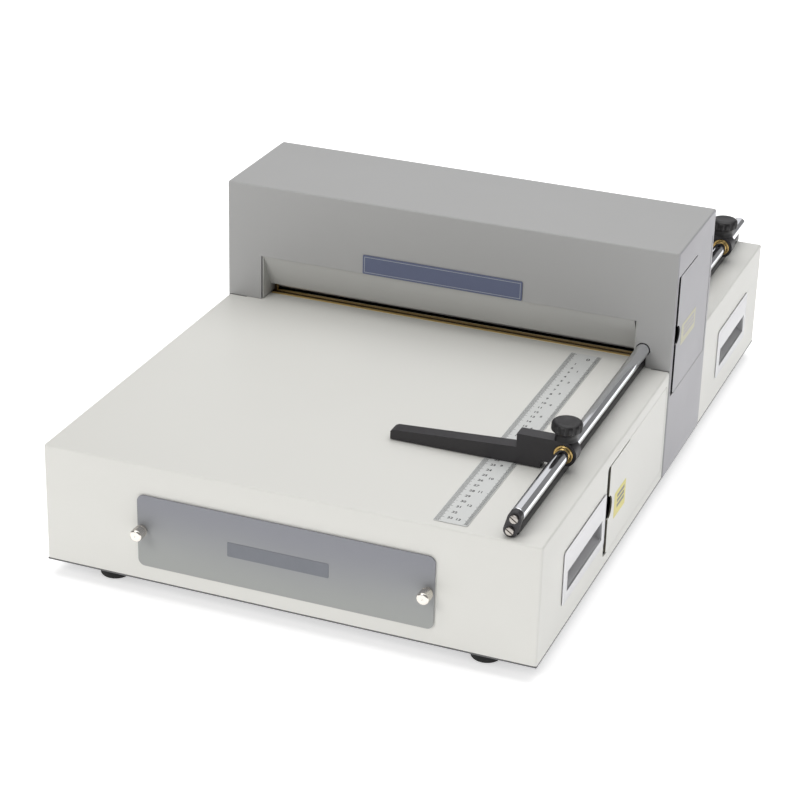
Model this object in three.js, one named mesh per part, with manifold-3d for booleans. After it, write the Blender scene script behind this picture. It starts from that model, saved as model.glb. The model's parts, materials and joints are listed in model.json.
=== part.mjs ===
// Electric creasing machine for sheets up to 350 mm wide, in millimetres, +Z up, +Y towards the back.
// The front table, the press head that bridges it, and the rear table stand on four rubber feet.
// All sizes below are in the base's own frame: x = 0 on the centre line, y = 0 on the base's front face,
// z = 0 on the underside of the base sheet metal. The group at the end moves that frame to the row's origin.

import * as THREE from 'three';
import { mergeVertices } from 'three/addons/utils/BufferGeometryUtils.js';
import Module from 'manifold-3d';

const wasm = await Module();
wasm.setup();

// ---- driving dimensions -------------------------------------------------------------------------

const GAP = 0.3; // between parts that touch
const SHEET = 1.5; // sheet metal of the covers
const EDGE_R = 2; // bend radius of the covers
const RIM = 1.2; // edge of the bottom sheet, which shows below the covers
const COVER_BOTTOM = 1.4;

const BASE = { halfWidth: 216, depth: 700, height: 107 };
const HEAD = { halfWidth: 217, front: 355.6, back: 480.4, height: 220 };
const MOUTH = { halfWidth: 183, top: 150.5, rodHole: 6.7 }; // the head's cut-out over the table
const GUARD = { reach: 17.2, slot: 9.5, sheet: 1.3, cheek: 1.2, endGap: 0.4, rightGap: 3 };
const FOOT = { radius: 14.5, height: 15, x: 166, inset: 26 };
const FRAME = { inner: 200, outer: 206, front: 362, back: 474, top: 217.5 };
const TONGUE = { halfWidth: 198, front: 374.2, back: 395 }; // the tables run on under the head

const DIE = {
  halfWidth: 181, front: 374.5, grooveFront: 378.2, grooveBack: 381.8, back: 386, height: 6,
  endPostWidth: 3, endPostHeight: 13,
};
const CREASE_Y = 380;
const STROKE = 6.5; // travel of the press beam
const BLADE_TIP = 113.5;

const SHAFT = { y: 382, z: 190, radius: 5, end: 207 };
const CAM = { x: 110, width: 10, radius: 17.5 };
const GEAR = { teeth: 28, module: 1.5, x: 66, width: 8 };
const PINION_TEETH = 16;
const MOTOR = { y: 414, z: 182, radius: 20, left: -55, right: 62 };
const POST = { x: 150, y: 418, radius: 5, bottom: 122 };
const BRIDGE = { front: 408, back: 428, bottom: 206, top: 216 };
const SPRING = { x: 130, coilRadius: 4.5, wire: 0.8, turns: 6 };

const ROD = { x: 190, z: 124, radius: 6, front: 12, back: 706 };
const END_SCREW = { radius: 3.5, height: 2.2, slotWidth: 1.1, slotDepth: 1.2, turn: 35 };
const RAIL = { left: 184, right: 192, bottom: 107.3, top: 113.8 };
const STOP = { frontY: 126, rearY: 631, depth: 13, left: 150, tip: 40, foot: 171, top: 135, bottom: 108 };
const KNOB = { radius: 13, height: 17, flutes: 12 };

const RULER = { left: 123, right: 151.5, front: 8, back: 359.5, thickness: 0.4 };
const NAME_BAND = { left: -80, right: 75, bottom: 151, top: 169.5, thickness: 0.8 };
const PANEL = { halfWidth: 130, bottom: 15, top: 80, radius: 6, thickness: 1.5 };
const TRAY = { halfWidth: 116, bottom: 21, top: 74, back: 190, wall: 1.2 };
const THUMB = { x: 125, z: 49, radius: 5.4, reach: 16 };

const CUP = {
  length: 113, bottom: 25, top: 74, face: 217, depth: 16, wall: 1.2, starts: [57, 537],
  pocket: { front: 11, back: 8, bottom: 9, height: 18, grip: 14 }, // set in from the flange
};
const BASE_DOOR = {
  front: 172.5, back: 350.5, bottom: 11, top: 95, notchZ: 54.5, notchR: 11, skin: BASE.halfWidth,
};
const HEAD_DOOR = {
  front: 359, back: 474.5, bottom: 81, top: 196, notchZ: 138, notchR: 9, skin: HEAD.halfWidth,
};
const DOOR = {
  rim: 8, gap: 0.25, frontGap: 8, backGap: 1.2, radius: 3.5, hingeRadius: 1, notchDepth: 10,
  reliefLength: 55, reliefDepth: 1.5, // the top edge steps down near the free corner
  axisIn: 3.5, axisFromEdge: 4, pin: 1.5, pinPlay: 0.4,
};

const INLET = { left: -190, right: -122, bottom: 36, top: 68, split: -146 };
const CONTROL_BOX = { left: -90, right: 40, front: 560, back: 668, top: 58 };
const BRACKET = { front: 397, back: 433, bottom: 163, sheet: 3, flange: 20 };
const BEAM = { halfWidth: 178, back: 391, bottom: 121, top: 160, lugX: 140, lugHalf: 20, lugBack: 428 };
const BLADE = { halfWidth: 176, thickness: 0.8, top: 145 };
const FRONT_END = -THUMB.reach; // foremost point
const REAR_END = ROD.back; // rearmost point

// ---- solids -------------------------------------------------------------------------------------

/** A manifold solid from a closed three.js geometry. */
function solid(geometry) {
  const bare = geometry.index ? geometry.toNonIndexed() : geometry.clone();
  for (const name of Object.keys(bare.attributes)) {
    if (name !== 'position') bare.deleteAttribute(name);
  }
  const merged = mergeVertices(bare, 1e-4);
  return new wasm.Manifold(new wasm.Mesh({
    numProp: 3,
    vertProperties: new Float32Array(merged.attributes.position.array),
    triVerts: new Uint32Array(merged.index.array),
  }));
}

/** The three.js geometry of a manifold solid. */
function geometryOf(shape) {
  const mesh = shape.getMesh();
  const geometry = new THREE.BufferGeometry();
  geometry.setAttribute('position', new THREE.BufferAttribute(mesh.vertProperties, 3));
  geometry.setIndex(new THREE.BufferAttribute(mesh.triVerts, 1));
  geometry.computeVertexNormals();
  return geometry;
}

function box(x0, x1, y0, y1, z0, z1) {
  const geometry = new THREE.BoxGeometry(x1 - x0, y1 - y0, z1 - z0);
  geometry.translate((x0 + x1) / 2, (y0 + y1) / 2, (z0 + z1) / 2);
  return solid(geometry);
}

const UNITS = [[1, 0, 0], [0, 1, 0], [0, 0, 1]];
const [UNIT_X, UNIT_Y, UNIT_Z] = UNITS.map((unit) => new THREE.Vector3(...unit));
const AXES = {
  x: new THREE.Matrix4().makeBasis(UNIT_Y, UNIT_Z, UNIT_X),
  y: new THREE.Matrix4().makeBasis(UNIT_X, UNIT_Z, UNIT_Y.clone().negate()),
  z: new THREE.Matrix4(),
};

/** A straight prism of an outline along an axis: the outline is in (y, z), (x, z) or (x, y) for x, y or z. */
function prism(outline, axis, from, to, curveSegments = 4) {
  const options = { depth: to - from, bevelEnabled: false, curveSegments };
  const geometry = new THREE.ExtrudeGeometry(outline, options);
  geometry.translate(0, 0, axis === 'y' ? -to : from);
  geometry.applyMatrix4(AXES[axis]);
  return solid(geometry);
}

function polygon(points) {
  return new THREE.Shape(points.map(([a, b]) => new THREE.Vector2(a, b)));
}

/** A rectangle whose corners have the radii given in the order low-low, high-low, high-high, low-high. */
function roundRect(a0, a1, b0, b1, radii) {
  const [ll, hl, hh, lh] = Array.isArray(radii) ? radii : [radii, radii, radii, radii];
  const outline = new THREE.Shape();
  outline.moveTo(a0 + ll, b0);
  outline.lineTo(a1 - hl, b0);
  if (hl) outline.absarc(a1 - hl, b0 + hl, hl, -Math.PI / 2, 0, false);
  outline.lineTo(a1, b1 - hh);
  if (hh) outline.absarc(a1 - hh, b1 - hh, hh, 0, Math.PI / 2, false);
  outline.lineTo(a0 + lh, b1);
  if (lh) outline.absarc(a0 + lh, b1 - lh, lh, Math.PI / 2, Math.PI, false);
  outline.lineTo(a0, b0 + ll);
  if (ll) outline.absarc(a0 + ll, b0 + ll, ll, Math.PI, Math.PI * 1.5, false);
  return outline;
}

/** A cylinder along an axis; its centre is given by the two coordinates across that axis. */
function cylinder(axis, radius, from, to, a, b, segments = 24) {
  const circle = new THREE.Shape();
  circle.absarc(a, b, radius, 0, Math.PI * 2, false);
  return prism(circle, axis, from, to, segments / 2);
}

/** A turned piece along +Z: profile points are [radius, z], from the axis back to the axis. */
function turned(profile, segments) {
  const geometry = new THREE.LatheGeometry(profile.map(([r, z]) => new THREE.Vector2(r, z)), segments);
  geometry.rotateX(Math.PI / 2);
  return solid(geometry);
}

function union(...shapes) {
  return shapes.reduce((sum, shape) => sum.add(shape));
}

function cut(shape, ...tools) {
  return tools.reduce((rest, tool) => rest.subtract(tool), shape);
}

// ---- covers -------------------------------------------------------------------------------------

/** A sheet metal housing, rounded along its top edges, open underneath. */
function housing(halfWidth, front, back, top, roundFront, roundBack) {
  const ends = [0, 0, roundBack ? EDGE_R : 0, roundFront ? EDGE_R : 0];
  const side = roundRect(front, back, COVER_BOTTOM, top, ends);
  const across = roundRect(-halfWidth, halfWidth, COVER_BOTTOM, top, [0, 0, EDGE_R, EDGE_R]);
  const outer = prism(side, 'x', -halfWidth, halfWidth).intersect(prism(across, 'y', front, back));
  const innerFront = roundFront ? front + SHEET : front - 1;
  const innerBack = roundBack ? back - SHEET : back + 1;
  const inner = box(-halfWidth + SHEET, halfWidth - SHEET, innerFront, innerBack, -1, top - SHEET);
  return cut(outer, inner);
}

/** The mouth of a handle cup's pocket, as [front, back, bottom, top]. */
function pocketMouth(start) {
  const { front, back, bottom, height } = CUP.pocket;
  return [start + front, start + CUP.length - back, CUP.bottom + bottom, CUP.bottom + bottom + height];
}

/** Both sides' openings for one handle cup. */
function cupOpenings(start) {
  const [y0, y1, z0, z1] = pocketMouth(start);
  const room = CUP.wall + 0.4;
  const outline = roundRect(y0 - room, y1 + room, z0 - room, z1 + CUP.pocket.grip + room, 2);
  return prism(outline, 'x', -BASE.halfWidth - 1, -BASE.halfWidth + 5)
    .add(prism(outline, 'x', BASE.halfWidth - 5, BASE.halfWidth + 1));
}

/** Corner radii of a door: round at the front, nearly square at the hinge, so that it swings clear. */
function doorCorners(inset) {
  const round = DOOR.radius - inset;
  return [round, DOOR.hingeRadius, DOOR.hingeRadius, round];
}

function doorOpening(door) {
  const outline = roundRect(door.front, door.back, door.bottom, door.top, doorCorners(0));
  return prism(outline, 'x', door.skin - 5, door.skin + 1);
}

function baseFrontCover() {
  const end = HEAD.front - 0.6;
  const shell = housing(BASE.halfWidth, 0, end, BASE.height, true, false);
  const tongue = box(-TONGUE.halfWidth, TONGUE.halfWidth, end - 1, TONGUE.front,
    BASE.height - SHEET, BASE.height);
  const opening = box(-TRAY.halfWidth - 2, TRAY.halfWidth + 2, -1, 5,
    TRAY.bottom - 1.5, TRAY.top + 1.5);
  const nuts = [-1, 1].map((s) => cylinder('y', 5, SHEET - 0.5, 9, s * THUMB.x, THUMB.z, 16));
  const holes = [-1, 1].map((s) => cylinder('y', 2.8, -1, 10, s * THUMB.x, THUMB.z, 16));
  return cut(union(shell, tongue, ...nuts), opening, ...holes,
    cupOpenings(CUP.starts[0]), doorOpening(BASE_DOOR));
}

function baseRearCover() {
  const start = HEAD.back + 0.6;
  const shell = housing(BASE.halfWidth, start, BASE.depth, BASE.height, false, true);
  const tongue = box(-TONGUE.halfWidth, TONGUE.halfWidth, TONGUE.back, start + 1,
    BASE.height - SHEET, BASE.height);
  const inlet = box(INLET.left + 4, INLET.right - 4, BASE.depth - 5, BASE.depth + 1,
    INLET.bottom + 4, INLET.top - 4);
  return cut(union(shell, tongue), inlet, cupOpenings(CUP.starts[1]));
}

/** The bottom sheet, whose thinner edge runs under the covers, with the two ribs that carry the tool tray. */
function basePan() {
  const half = BASE.halfWidth - SHEET - 0.6;
  const sheet = box(-half, half, SHEET + 0.6, BASE.depth - SHEET - 0.6, 0, SHEET);
  const rim = box(-BASE.halfWidth, BASE.halfWidth, 0, BASE.depth, 0, RIM);
  const ribs = [-1, 1].map((s) => box(s * 90 - 5, s * 90 + 5, 12, 186, SHEET - 0.5, TRAY.bottom - 0.4));
  return union(sheet, rim, ...ribs);
}

function headCover() {
  const shell = housing(HEAD.halfWidth, HEAD.front, HEAD.back, HEAD.height, true, true);
  const below = box(-HEAD.halfWidth + SHEET, HEAD.halfWidth - SHEET, HEAD.front - 1, HEAD.back + 1, -1,
    BASE.height + GAP);
  const mouth = box(-MOUTH.halfWidth, MOUTH.halfWidth, HEAD.front - 1, HEAD.back + 1, 0, MOUTH.top);
  const rodHole = cylinder('y', MOUTH.rodHole, HEAD.front - 1, HEAD.back + 1, ROD.x, ROD.z);
  const railHole = box(MOUTH.halfWidth - 1, RAIL.right + 1.2, HEAD.front - 1, HEAD.back + 1, 100, ROD.z);
  return cut(shell, below, mouth, rodHole, railHole, doorOpening(HEAD_DOOR));
}

/** The slanted sheet that closes the head's cut-out down to the paper slot, with its two side cheeks. */
function paperGuard(front) {
  const lip = HEAD.front + SHEET + GAP;
  const slotTop = BASE.height + GUARD.slot;
  const table = BASE.height + 0.5;
  const tip = lip + GUARD.reach;
  const strip = polygon([
    [lip, MOUTH.top + 12], [lip, MOUTH.top - 1], [tip, slotTop], [tip + GUARD.sheet, slotTop],
    [lip + GUARD.sheet, MOUTH.top - 0.6], [lip + GUARD.sheet, MOUTH.top + 12],
  ]);
  const cheek = polygon([
    [lip, MOUTH.top + 12], [lip, table], [DIE.back, table], [DIE.back, slotTop],
    [tip + GUARD.sheet, slotTop], [lip + GUARD.sheet, MOUTH.top - 0.6], [lip + GUARD.sheet, MOUTH.top + 12],
  ]);
  const left = -MOUTH.halfWidth + GUARD.endGap;
  const right = MOUTH.halfWidth - GUARD.rightGap;
  const guard = union(
    prism(strip, 'x', left, right),
    prism(cheek, 'x', left, left + GUARD.cheek),
    prism(cheek, 'x', MOUTH.halfWidth - GUARD.endGap - GUARD.cheek, MOUTH.halfWidth - GUARD.endGap),
    box(right - 1, MOUTH.halfWidth - GUARD.endGap, lip, lip + GUARD.sheet, MOUTH.top + 2, MOUTH.top + 12),
  );
  return front ? guard : guard.mirror([0, 1, 0]).translate([0, HEAD.front + HEAD.back, 0]);
}

// ---- handle cups and doors ----------------------------------------------------------------------

/** A recessed pull: a flange over the cover and a pocket that runs up behind it for the fingers. */
function handleCup(start, sign) {
  const [y0, y1, z0, z1] = pocketMouth(start);
  const { grip } = CUP.pocket;
  const { wall } = CUP;
  const seat = BASE.halfWidth + GAP;
  const back = CUP.face - CUP.depth;
  const flange = prism(roundRect(start, start + CUP.length, CUP.bottom, CUP.top, 3), 'x', seat, CUP.face);
  const shell = roundRect(y0 - wall, y1 + wall, z0 - wall, z1 + grip + wall, 1.5);
  const body = prism(shell, 'x', back, seat + 0.2);
  const hollow = polygon([
    [CUP.face + 1, z0], [seat - 1, z0], [back + wall, z0 + 10], [back + wall, z1 + grip],
    [seat - 3.5, z1 + grip], [seat - wall, z1], [CUP.face + 1, z1],
  ]);
  const under = polygon([[back - 1, z0 - wall - 1], [seat - 6, z0 - wall - 1], [back - 1, z0 + 8]]);
  const cup = cut(union(flange, body),
    prism(hollow, 'y', y0, y1),
    prism(under, 'y', y0 - wall - 1, y1 + wall + 1));
  return sign > 0 ? cup : cup.mirror([1, 0, 0]);
}

/** The line a door turns about, as [x, y]. */
function doorAxis(door) {
  return [door.skin - DOOR.axisIn, door.back - DOOR.backGap - DOOR.axisFromEdge];
}

/** A flush door: a sheet with a rim on three sides, a finger notch in its free edge and hinge holes. */
function sideDoor(door) {
  const y0 = door.front + DOOR.frontGap;
  const y1 = door.back - DOOR.backGap;
  const z0 = door.bottom + DOOR.gap;
  const z1 = door.top - DOOR.gap;
  const body = prism(roundRect(y0, y1, z0, z1, doorCorners(DOOR.gap)), 'x', door.skin - DOOR.rim, door.skin);
  const inside = roundRect(y0 - 1, y1 - SHEET, z0 + SHEET, z1 - SHEET - DOOR.reliefDepth, 0);
  const relief = box(door.skin - DOOR.rim - 1, door.skin + 1, y0 - 1, y0 + DOOR.reliefLength,
    z1 - DOOR.reliefDepth, z1 + 1);
  const hollow = prism(inside, 'x', door.skin - DOOR.rim - 1, door.skin - SHEET);
  const notch = new THREE.Shape();
  notch.absellipse(y0, door.notchZ, DOOR.notchDepth, door.notchR, 0, Math.PI * 2, false, 0);
  const [axisX, axisY] = doorAxis(door);
  return cut(body, hollow, relief,
    prism(notch, 'x', door.skin - DOOR.rim - 1, door.skin + 1, 10),
    cylinder('z', DOOR.pin + DOOR.pinPlay, door.bottom - 1, door.top + 1, axisX, axisY, 16));
}

function doorRod(door, top) {
  const [axisX, axisY] = doorAxis(door);
  return cylinder('z', DOOR.pin, SHEET + GAP, top, axisX, axisY, 16);
}

// ---- press unit ---------------------------------------------------------------------------------

function sideFrame(sign) {
  const outline = roundRect(FRAME.front, FRAME.back, SHEET + GAP, FRAME.top, 4);
  const plate = prism(outline, 'x', FRAME.inner, FRAME.outer);
  const opening = roundRect(FRAME.front + 48, FRAME.back - 18, 125, 165, 8);
  const window = prism(opening, 'x', FRAME.inner - 1, FRAME.outer + 1);
  const frame = cut(plate, window,
    cylinder('x', 10.3, FRAME.inner - 1, FRAME.outer + 1, SHAFT.y, SHAFT.z));
  return sign > 0 ? frame : frame.mirror([1, 0, 0]);
}

/** A flanged bush in a side frame. */
function shaftBearing(sign) {
  const sleeve = cylinder('x', 10, FRAME.inner - 3, FRAME.outer, SHAFT.y, SHAFT.z);
  const flange = cylinder('x', 13, FRAME.inner - 3.3, FRAME.inner - GAP, SHAFT.y, SHAFT.z);
  const bearing = cut(union(sleeve, flange),
    cylinder('x', SHAFT.radius + 0.3, FRAME.inner - 5, FRAME.outer + 1, SHAFT.y, SHAFT.z));
  return sign > 0 ? bearing : bearing.mirror([1, 0, 0]);
}

function upperBridge() {
  const half = FRAME.inner - GAP;
  const bar = box(-half, half, BRIDGE.front, BRIDGE.back, BRIDGE.bottom, BRIDGE.top);
  const bores = [-1, 1].map((s) => cylinder('z', POST.radius + GAP, BRIDGE.bottom - 1, BRIDGE.top + 1,
    s * POST.x, POST.y));
  return cut(bar, ...bores);
}

/** A guide post hangs from the bridge by its head and ends above the paper. */
function guidePost(sign) {
  return turned([[0, POST.bottom], [POST.radius - 1, POST.bottom], [POST.radius, POST.bottom + 1],
    [POST.radius, BRIDGE.top + GAP], [POST.radius + 3, BRIDGE.top + GAP], [POST.radius + 3, BRIDGE.top + 2],
    [0, BRIDGE.top + 2]], 24).translate([sign * POST.x, POST.y, 0]);
}

function pressBeam() {
  const half = BEAM.halfWidth;
  const face = CREASE_Y + 0.7;
  const bar = box(-half, half, face, BEAM.back, BEAM.bottom, BEAM.top);
  const lugs = [-1, 1].map((s) => box(s * BEAM.lugX - BEAM.lugHalf, s * BEAM.lugX + BEAM.lugHalf,
    BEAM.back - 1, BEAM.lugBack, BEAM.bottom + 10, BEAM.top - 3));
  const bores = [-1, 1].map((s) => cylinder('z', POST.radius + GAP, BEAM.bottom, BEAM.top, s * POST.x, POST.y));
  const padTop = SHAFT.z - CAM.radius - GAP;
  const pads = [-1, 1].map((s) => box(s * CAM.x - 9, s * CAM.x + 9, CREASE_Y - 4, BEAM.back,
    BEAM.top - 10, padTop));
  return cut(union(bar, ...lugs, ...pads), ...bores);
}

function creaseBlade() {
  const half = BLADE.thickness / 2;
  return box(-BLADE.halfWidth, BLADE.halfWidth, CREASE_Y - half, CREASE_Y + half, BLADE_TIP, BLADE.top);
}

/** The front jaw that holds the blade against the beam, with its row of screw heads. */
function bladeClamp() {
  const front = CREASE_Y - 4;
  const bar = box(-BLADE.halfWidth, BLADE.halfWidth, front, CREASE_Y - 0.7, BEAM.bottom, BLADE.top);
  const heads = [-150, -90, -30, 30, 90, 150]
    .map((x) => cylinder('y', 3.5, front - 1.8, front + 1, x, 136, 12));
  return union(bar, ...heads);
}

function dieBed() {
  const half = FRAME.inner - GAP;
  return union(
    box(-half, half, DIE.front, DIE.back, 62, BASE.height - DIE.height),
    box(-half, half, DIE.front + 4, DIE.back + 14, 40, 62.5),
  );
}

function dieStrip(y0, y1, endPost) {
  const z0 = BASE.height - DIE.height + GAP;
  const strip = box(-DIE.halfWidth, DIE.halfWidth - 1, y0, y1, z0, BASE.height);
  if (!endPost) return strip;
  return union(strip, box(-DIE.halfWidth, -DIE.halfWidth + DIE.endPostWidth, y0, y1,
    z0, BASE.height + DIE.endPostHeight));
}

/** An extension spring between the bridge and the beam's lug: a coil with a straight tail at each end. */
function returnSpring(sign) {
  const bottom = 158;
  const top = BRIDGE.bottom - 1;
  const tail = 6;
  const perTurn = 8;
  const points = [new THREE.Vector3(0, 0, bottom)];
  const steps = SPRING.turns * perTurn;
  for (let i = 0; i <= steps; i += 1) {
    const angle = (i / perTurn) * Math.PI * 2;
    const z = bottom + tail + ((top - bottom - 2 * tail) * i) / steps;
    const [x, y] = [SPRING.coilRadius * Math.cos(angle), SPRING.coilRadius * Math.sin(angle)];
    points.push(new THREE.Vector3(x, y, z));
  }
  points.push(new THREE.Vector3(0, 0, top));
  const wire = new THREE.Shape();
  wire.absarc(0, 0, SPRING.wire, 0, Math.PI * 2, false);
  const geometry = new THREE.ExtrudeGeometry(wire, {
    steps: steps + 4,
    curveSegments: 3,
    extrudePath: new THREE.CatmullRomCurve3(points),
  });
  geometry.translate(sign * SPRING.x, POST.y, 0);
  return solid(geometry);
}

// ---- drive --------------------------------------------------------------------------------------

/** A spur gear's outline about a point, with a tooth centred on the phase angle. */
function gearOutline(centreA, centreB, teeth, phase) {
  const pitch = (GEAR.module * teeth) / 2;
  const step = (Math.PI * 2) / teeth;
  const root = pitch - 1.15 * GEAR.module;
  const tip = pitch + 0.8 * GEAR.module;
  const corners = [[-0.3, root], [-0.1, tip], [0.1, tip], [0.3, root]];
  const points = [];
  for (let i = 0; i < teeth; i += 1) {
    for (const [part, radius] of corners) {
      const angle = phase + (i + part) * step;
      points.push([centreA + radius * Math.cos(angle), centreB + radius * Math.sin(angle)]);
    }
  }
  return polygon(points);
}

const LINE_OF_CENTRES = Math.atan2(MOTOR.z - SHAFT.z, MOTOR.y - SHAFT.y);

function driveGear() {
  const outline = gearOutline(SHAFT.y, SHAFT.z, GEAR.teeth, LINE_OF_CENTRES);
  return cut(prism(outline, 'x', GEAR.x, GEAR.x + GEAR.width),
    cylinder('x', SHAFT.radius + GAP, GEAR.x - 1, GEAR.x + GEAR.width + 1, SHAFT.y, SHAFT.z));
}

function motorPinion() {
  const phase = LINE_OF_CENTRES + Math.PI + Math.PI / PINION_TEETH;
  const outline = gearOutline(MOTOR.y, MOTOR.z, PINION_TEETH, phase);
  return union(prism(outline, 'x', GEAR.x, GEAR.x + GEAR.width),
    cylinder('x', 4, MOTOR.right + GAP, GEAR.x + GEAR.width + 3, MOTOR.y, MOTOR.z, 16));
}

/** A heart cam: its radius grows evenly over half a turn, so the beam's travel is in step with the shaft. */
function cam(sign) {
  const points = [];
  const steps = 48;
  for (let i = 0; i < steps; i += 1) {
    const angle = (i / steps) * Math.PI * 2;
    const fromLow = Math.min(angle, Math.PI * 2 - angle);
    const radius = CAM.radius + (STROKE * fromLow) / Math.PI;
    const direction = angle - Math.PI / 2;
    points.push([SHAFT.y + radius * Math.cos(direction), SHAFT.z + radius * Math.sin(direction)]);
  }
  const from = sign * CAM.x - CAM.width / 2;
  return cut(prism(polygon(points), 'x', from, from + CAM.width),
    cylinder('x', SHAFT.radius + GAP, from - 1, from + CAM.width + 1, SHAFT.y, SHAFT.z));
}

/** Motor and gearbox in one case: a round motor can behind a square gearbox. */
function gearMotor() {
  const can = cylinder('x', MOTOR.radius - 1, MOTOR.left, 18, MOTOR.y, MOTOR.z, 40);
  const gearbox = prism(roundRect(MOTOR.y - MOTOR.radius, MOTOR.y + MOTOR.radius, MOTOR.z - MOTOR.radius,
    MOTOR.z + MOTOR.radius, 4), 'x', 17, MOTOR.right - GAP);
  const cap = cylinder('x', 7, MOTOR.left - 5, MOTOR.left + 1, MOTOR.y, MOTOR.z, 24);
  return union(can, gearbox, cap);
}

function motorBracket() {
  const far = MOTOR.right + BRACKET.sheet;
  const top = BRIDGE.bottom - GAP;
  const plate = box(MOTOR.right, far, BRACKET.front, BRACKET.back, BRACKET.bottom, top);
  const flange = box(MOTOR.right - BRACKET.flange, far, BRIDGE.front, BRIDGE.back, top - BRACKET.sheet, top);
  return cut(union(plate, flange), cylinder('x', 5, MOTOR.right - 1, far + 1, MOTOR.y, MOTOR.z, 24));
}

// ---- paper stops --------------------------------------------------------------------------------

/** The black rail under the chrome rod, with three saddles that carry the rod. */
function rodRail() {
  const rail = box(RAIL.left, RAIL.right, ROD.front, BASE.depth, RAIL.bottom, RAIL.top);
  const saddles = [[400, 412], [440, 452], [690, BASE.depth]]
    .map(([y0, y1]) => box(RAIL.left + 1, RAIL.right, y0, y1, RAIL.top - 1, ROD.z - ROD.radius - GAP));
  return union(rail, ...saddles);
}

function guideRod() {
  const profile = [[0, ROD.front], [ROD.radius - 1, ROD.front], [ROD.radius, ROD.front + 1],
    [ROD.radius, ROD.back - 1], [ROD.radius - 1, ROD.back], [0, ROD.back]];
  return turned(profile, 28).rotate([-90, 0, 0]).translate([ROD.x, 0, ROD.z]);
}

const END_SCREWS = [[ROD.x, ROD.z], [187, 113.2]];

/** The slanting plate that ties the rod's front end to the rail. */
function rodEndPlate() {
  const radius = 5.8;
  const [[upperX, upperZ], [lowerX, lowerZ]] = END_SCREWS;
  const lean = Math.atan2(upperZ - lowerZ, upperX - lowerX);
  const outline = new THREE.Shape();
  outline.absarc(upperX, upperZ, radius, lean - Math.PI / 2, lean + Math.PI / 2, false);
  outline.absarc(lowerX, lowerZ, radius, lean + Math.PI / 2, lean + Math.PI * 1.5, false);
  return prism(outline, 'y', ROD.front - 6.3, ROD.front - GAP, 10);
}

/** A cheese-head screw with a slot. */
function endScrew([x, z]) {
  const seat = ROD.front - 6.6;
  const face = seat - END_SCREW.height;
  const half = END_SCREW.slotWidth / 2;
  const head = cylinder('y', END_SCREW.radius, face, seat, x, z, 24);
  const slot = box(-6, 6, face - 1, face + END_SCREW.slotDepth, -half, half)
    .rotate([0, END_SCREW.turn, 0])
    .translate([x, 0, z]);
  return cut(head, slot);
}

/** The carriage on the rod and its tapering arm across the table, in one casting. */
function stopCarriage(y0) {
  const outline = new THREE.Shape();
  outline.moveTo(STOP.tip, STOP.bottom);
  outline.lineTo(STOP.foot, STOP.bottom);
  outline.lineTo(STOP.foot, RAIL.top + 0.5);
  outline.lineTo(ROD.x + 5.4, RAIL.top + 0.5);
  outline.absarc(ROD.x, ROD.z, 11, -Math.PI / 3.2, Math.PI / 2, false);
  outline.lineTo(STOP.left, STOP.top);
  outline.lineTo(STOP.left, STOP.bottom + 15);
  outline.lineTo(STOP.tip + 3, STOP.bottom + 8.5);
  outline.lineTo(STOP.tip, STOP.bottom + 7);
  return cut(prism(outline, 'y', y0, y0 + STOP.depth, 10),
    cylinder('y', 8.3, y0 - 1, y0 + STOP.depth + 1, ROD.x, ROD.z),
    cylinder('z', 3.3, ROD.z, STOP.top + 1, ROD.x, y0 + STOP.depth / 2, 16));
}

/** The brass bush that runs on the rod, with a hole for the clamp screw. */
function stopBush(y0) {
  const front = y0 - 0.8;
  const back = y0 + STOP.depth + 0.8;
  return cut(cylinder('y', 8, front, back, ROD.x, ROD.z),
    cylinder('y', ROD.radius + 0.25, front - 1, back + 1, ROD.x, ROD.z),
    cylinder('z', 3.3, ROD.z, STOP.top + 1, ROD.x, y0 + STOP.depth / 2, 16));
}

/** The mushroom-shaped clamp knob: a fluted head on a waisted neck, with its screw. */
function stopKnob(y0) {
  const base = STOP.top + GAP;
  const body = turned([
    [0, ROD.z + ROD.radius + GAP], [2.8, ROD.z + ROD.radius + GAP], [2.8, base], [9.5, base], [9.5, base + 1],
    [9, base + 3], [9.6, base + 5.5], [11.6, base + 7.5], [12.9, base + 8.6], [13, base + 13],
    [12.2, base + 15.6], [10, base + 16.6], [0, base + KNOB.height]], 24);
  const flutes = [];
  for (let i = 0; i < KNOB.flutes; i += 1) {
    const angle = (i / KNOB.flutes) * Math.PI * 2;
    flutes.push(cylinder('z', 1.2, base + 6.5, base + KNOB.height + 1,
      (KNOB.radius + 0.5) * Math.cos(angle), (KNOB.radius + 0.5) * Math.sin(angle), 6));
  }
  return cut(body, ...flutes).translate([ROD.x, y0 + STOP.depth / 2, 0]);
}

// ---- tool tray ----------------------------------------------------------------------------------

function toolPanel() {
  const outline = roundRect(-PANEL.halfWidth, PANEL.halfWidth, PANEL.bottom, PANEL.top, PANEL.radius);
  const holes = [-1, 1].map((s) => cylinder('y', 2.9, -5, 5, s * THUMB.x, THUMB.z, 16));
  return cut(prism(outline, 'y', -GAP - PANEL.thickness, -GAP), ...holes);
}

function toolTray() {
  const { halfWidth, bottom, top, back, wall } = TRAY;
  return cut(box(-halfWidth, halfWidth, 0, back, bottom, top),
    box(-halfWidth + wall, halfWidth - wall, wall, back - wall, bottom + wall, top + 1));
}

/** A thumb screw along -Y: shank, neck and head. */
function thumbScrew(sign) {
  const face = GAP + PANEL.thickness + GAP;
  const profile = [[0, -7], [2.1, -7], [2.5, -6.5], [2.5, face], [4, face], [4, face + 3],
    [THUMB.radius - 0.4, face + 3], [THUMB.radius, face + 3.6], [THUMB.radius, THUMB.reach - 1.2],
    [THUMB.radius - 1, THUMB.reach], [0, THUMB.reach]];
  return turned(profile, 24).rotate([90, 0, 0]).translate([sign * THUMB.x, 0, THUMB.z]);
}

// ---- table, label and electrics -----------------------------------------------------------------

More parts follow.
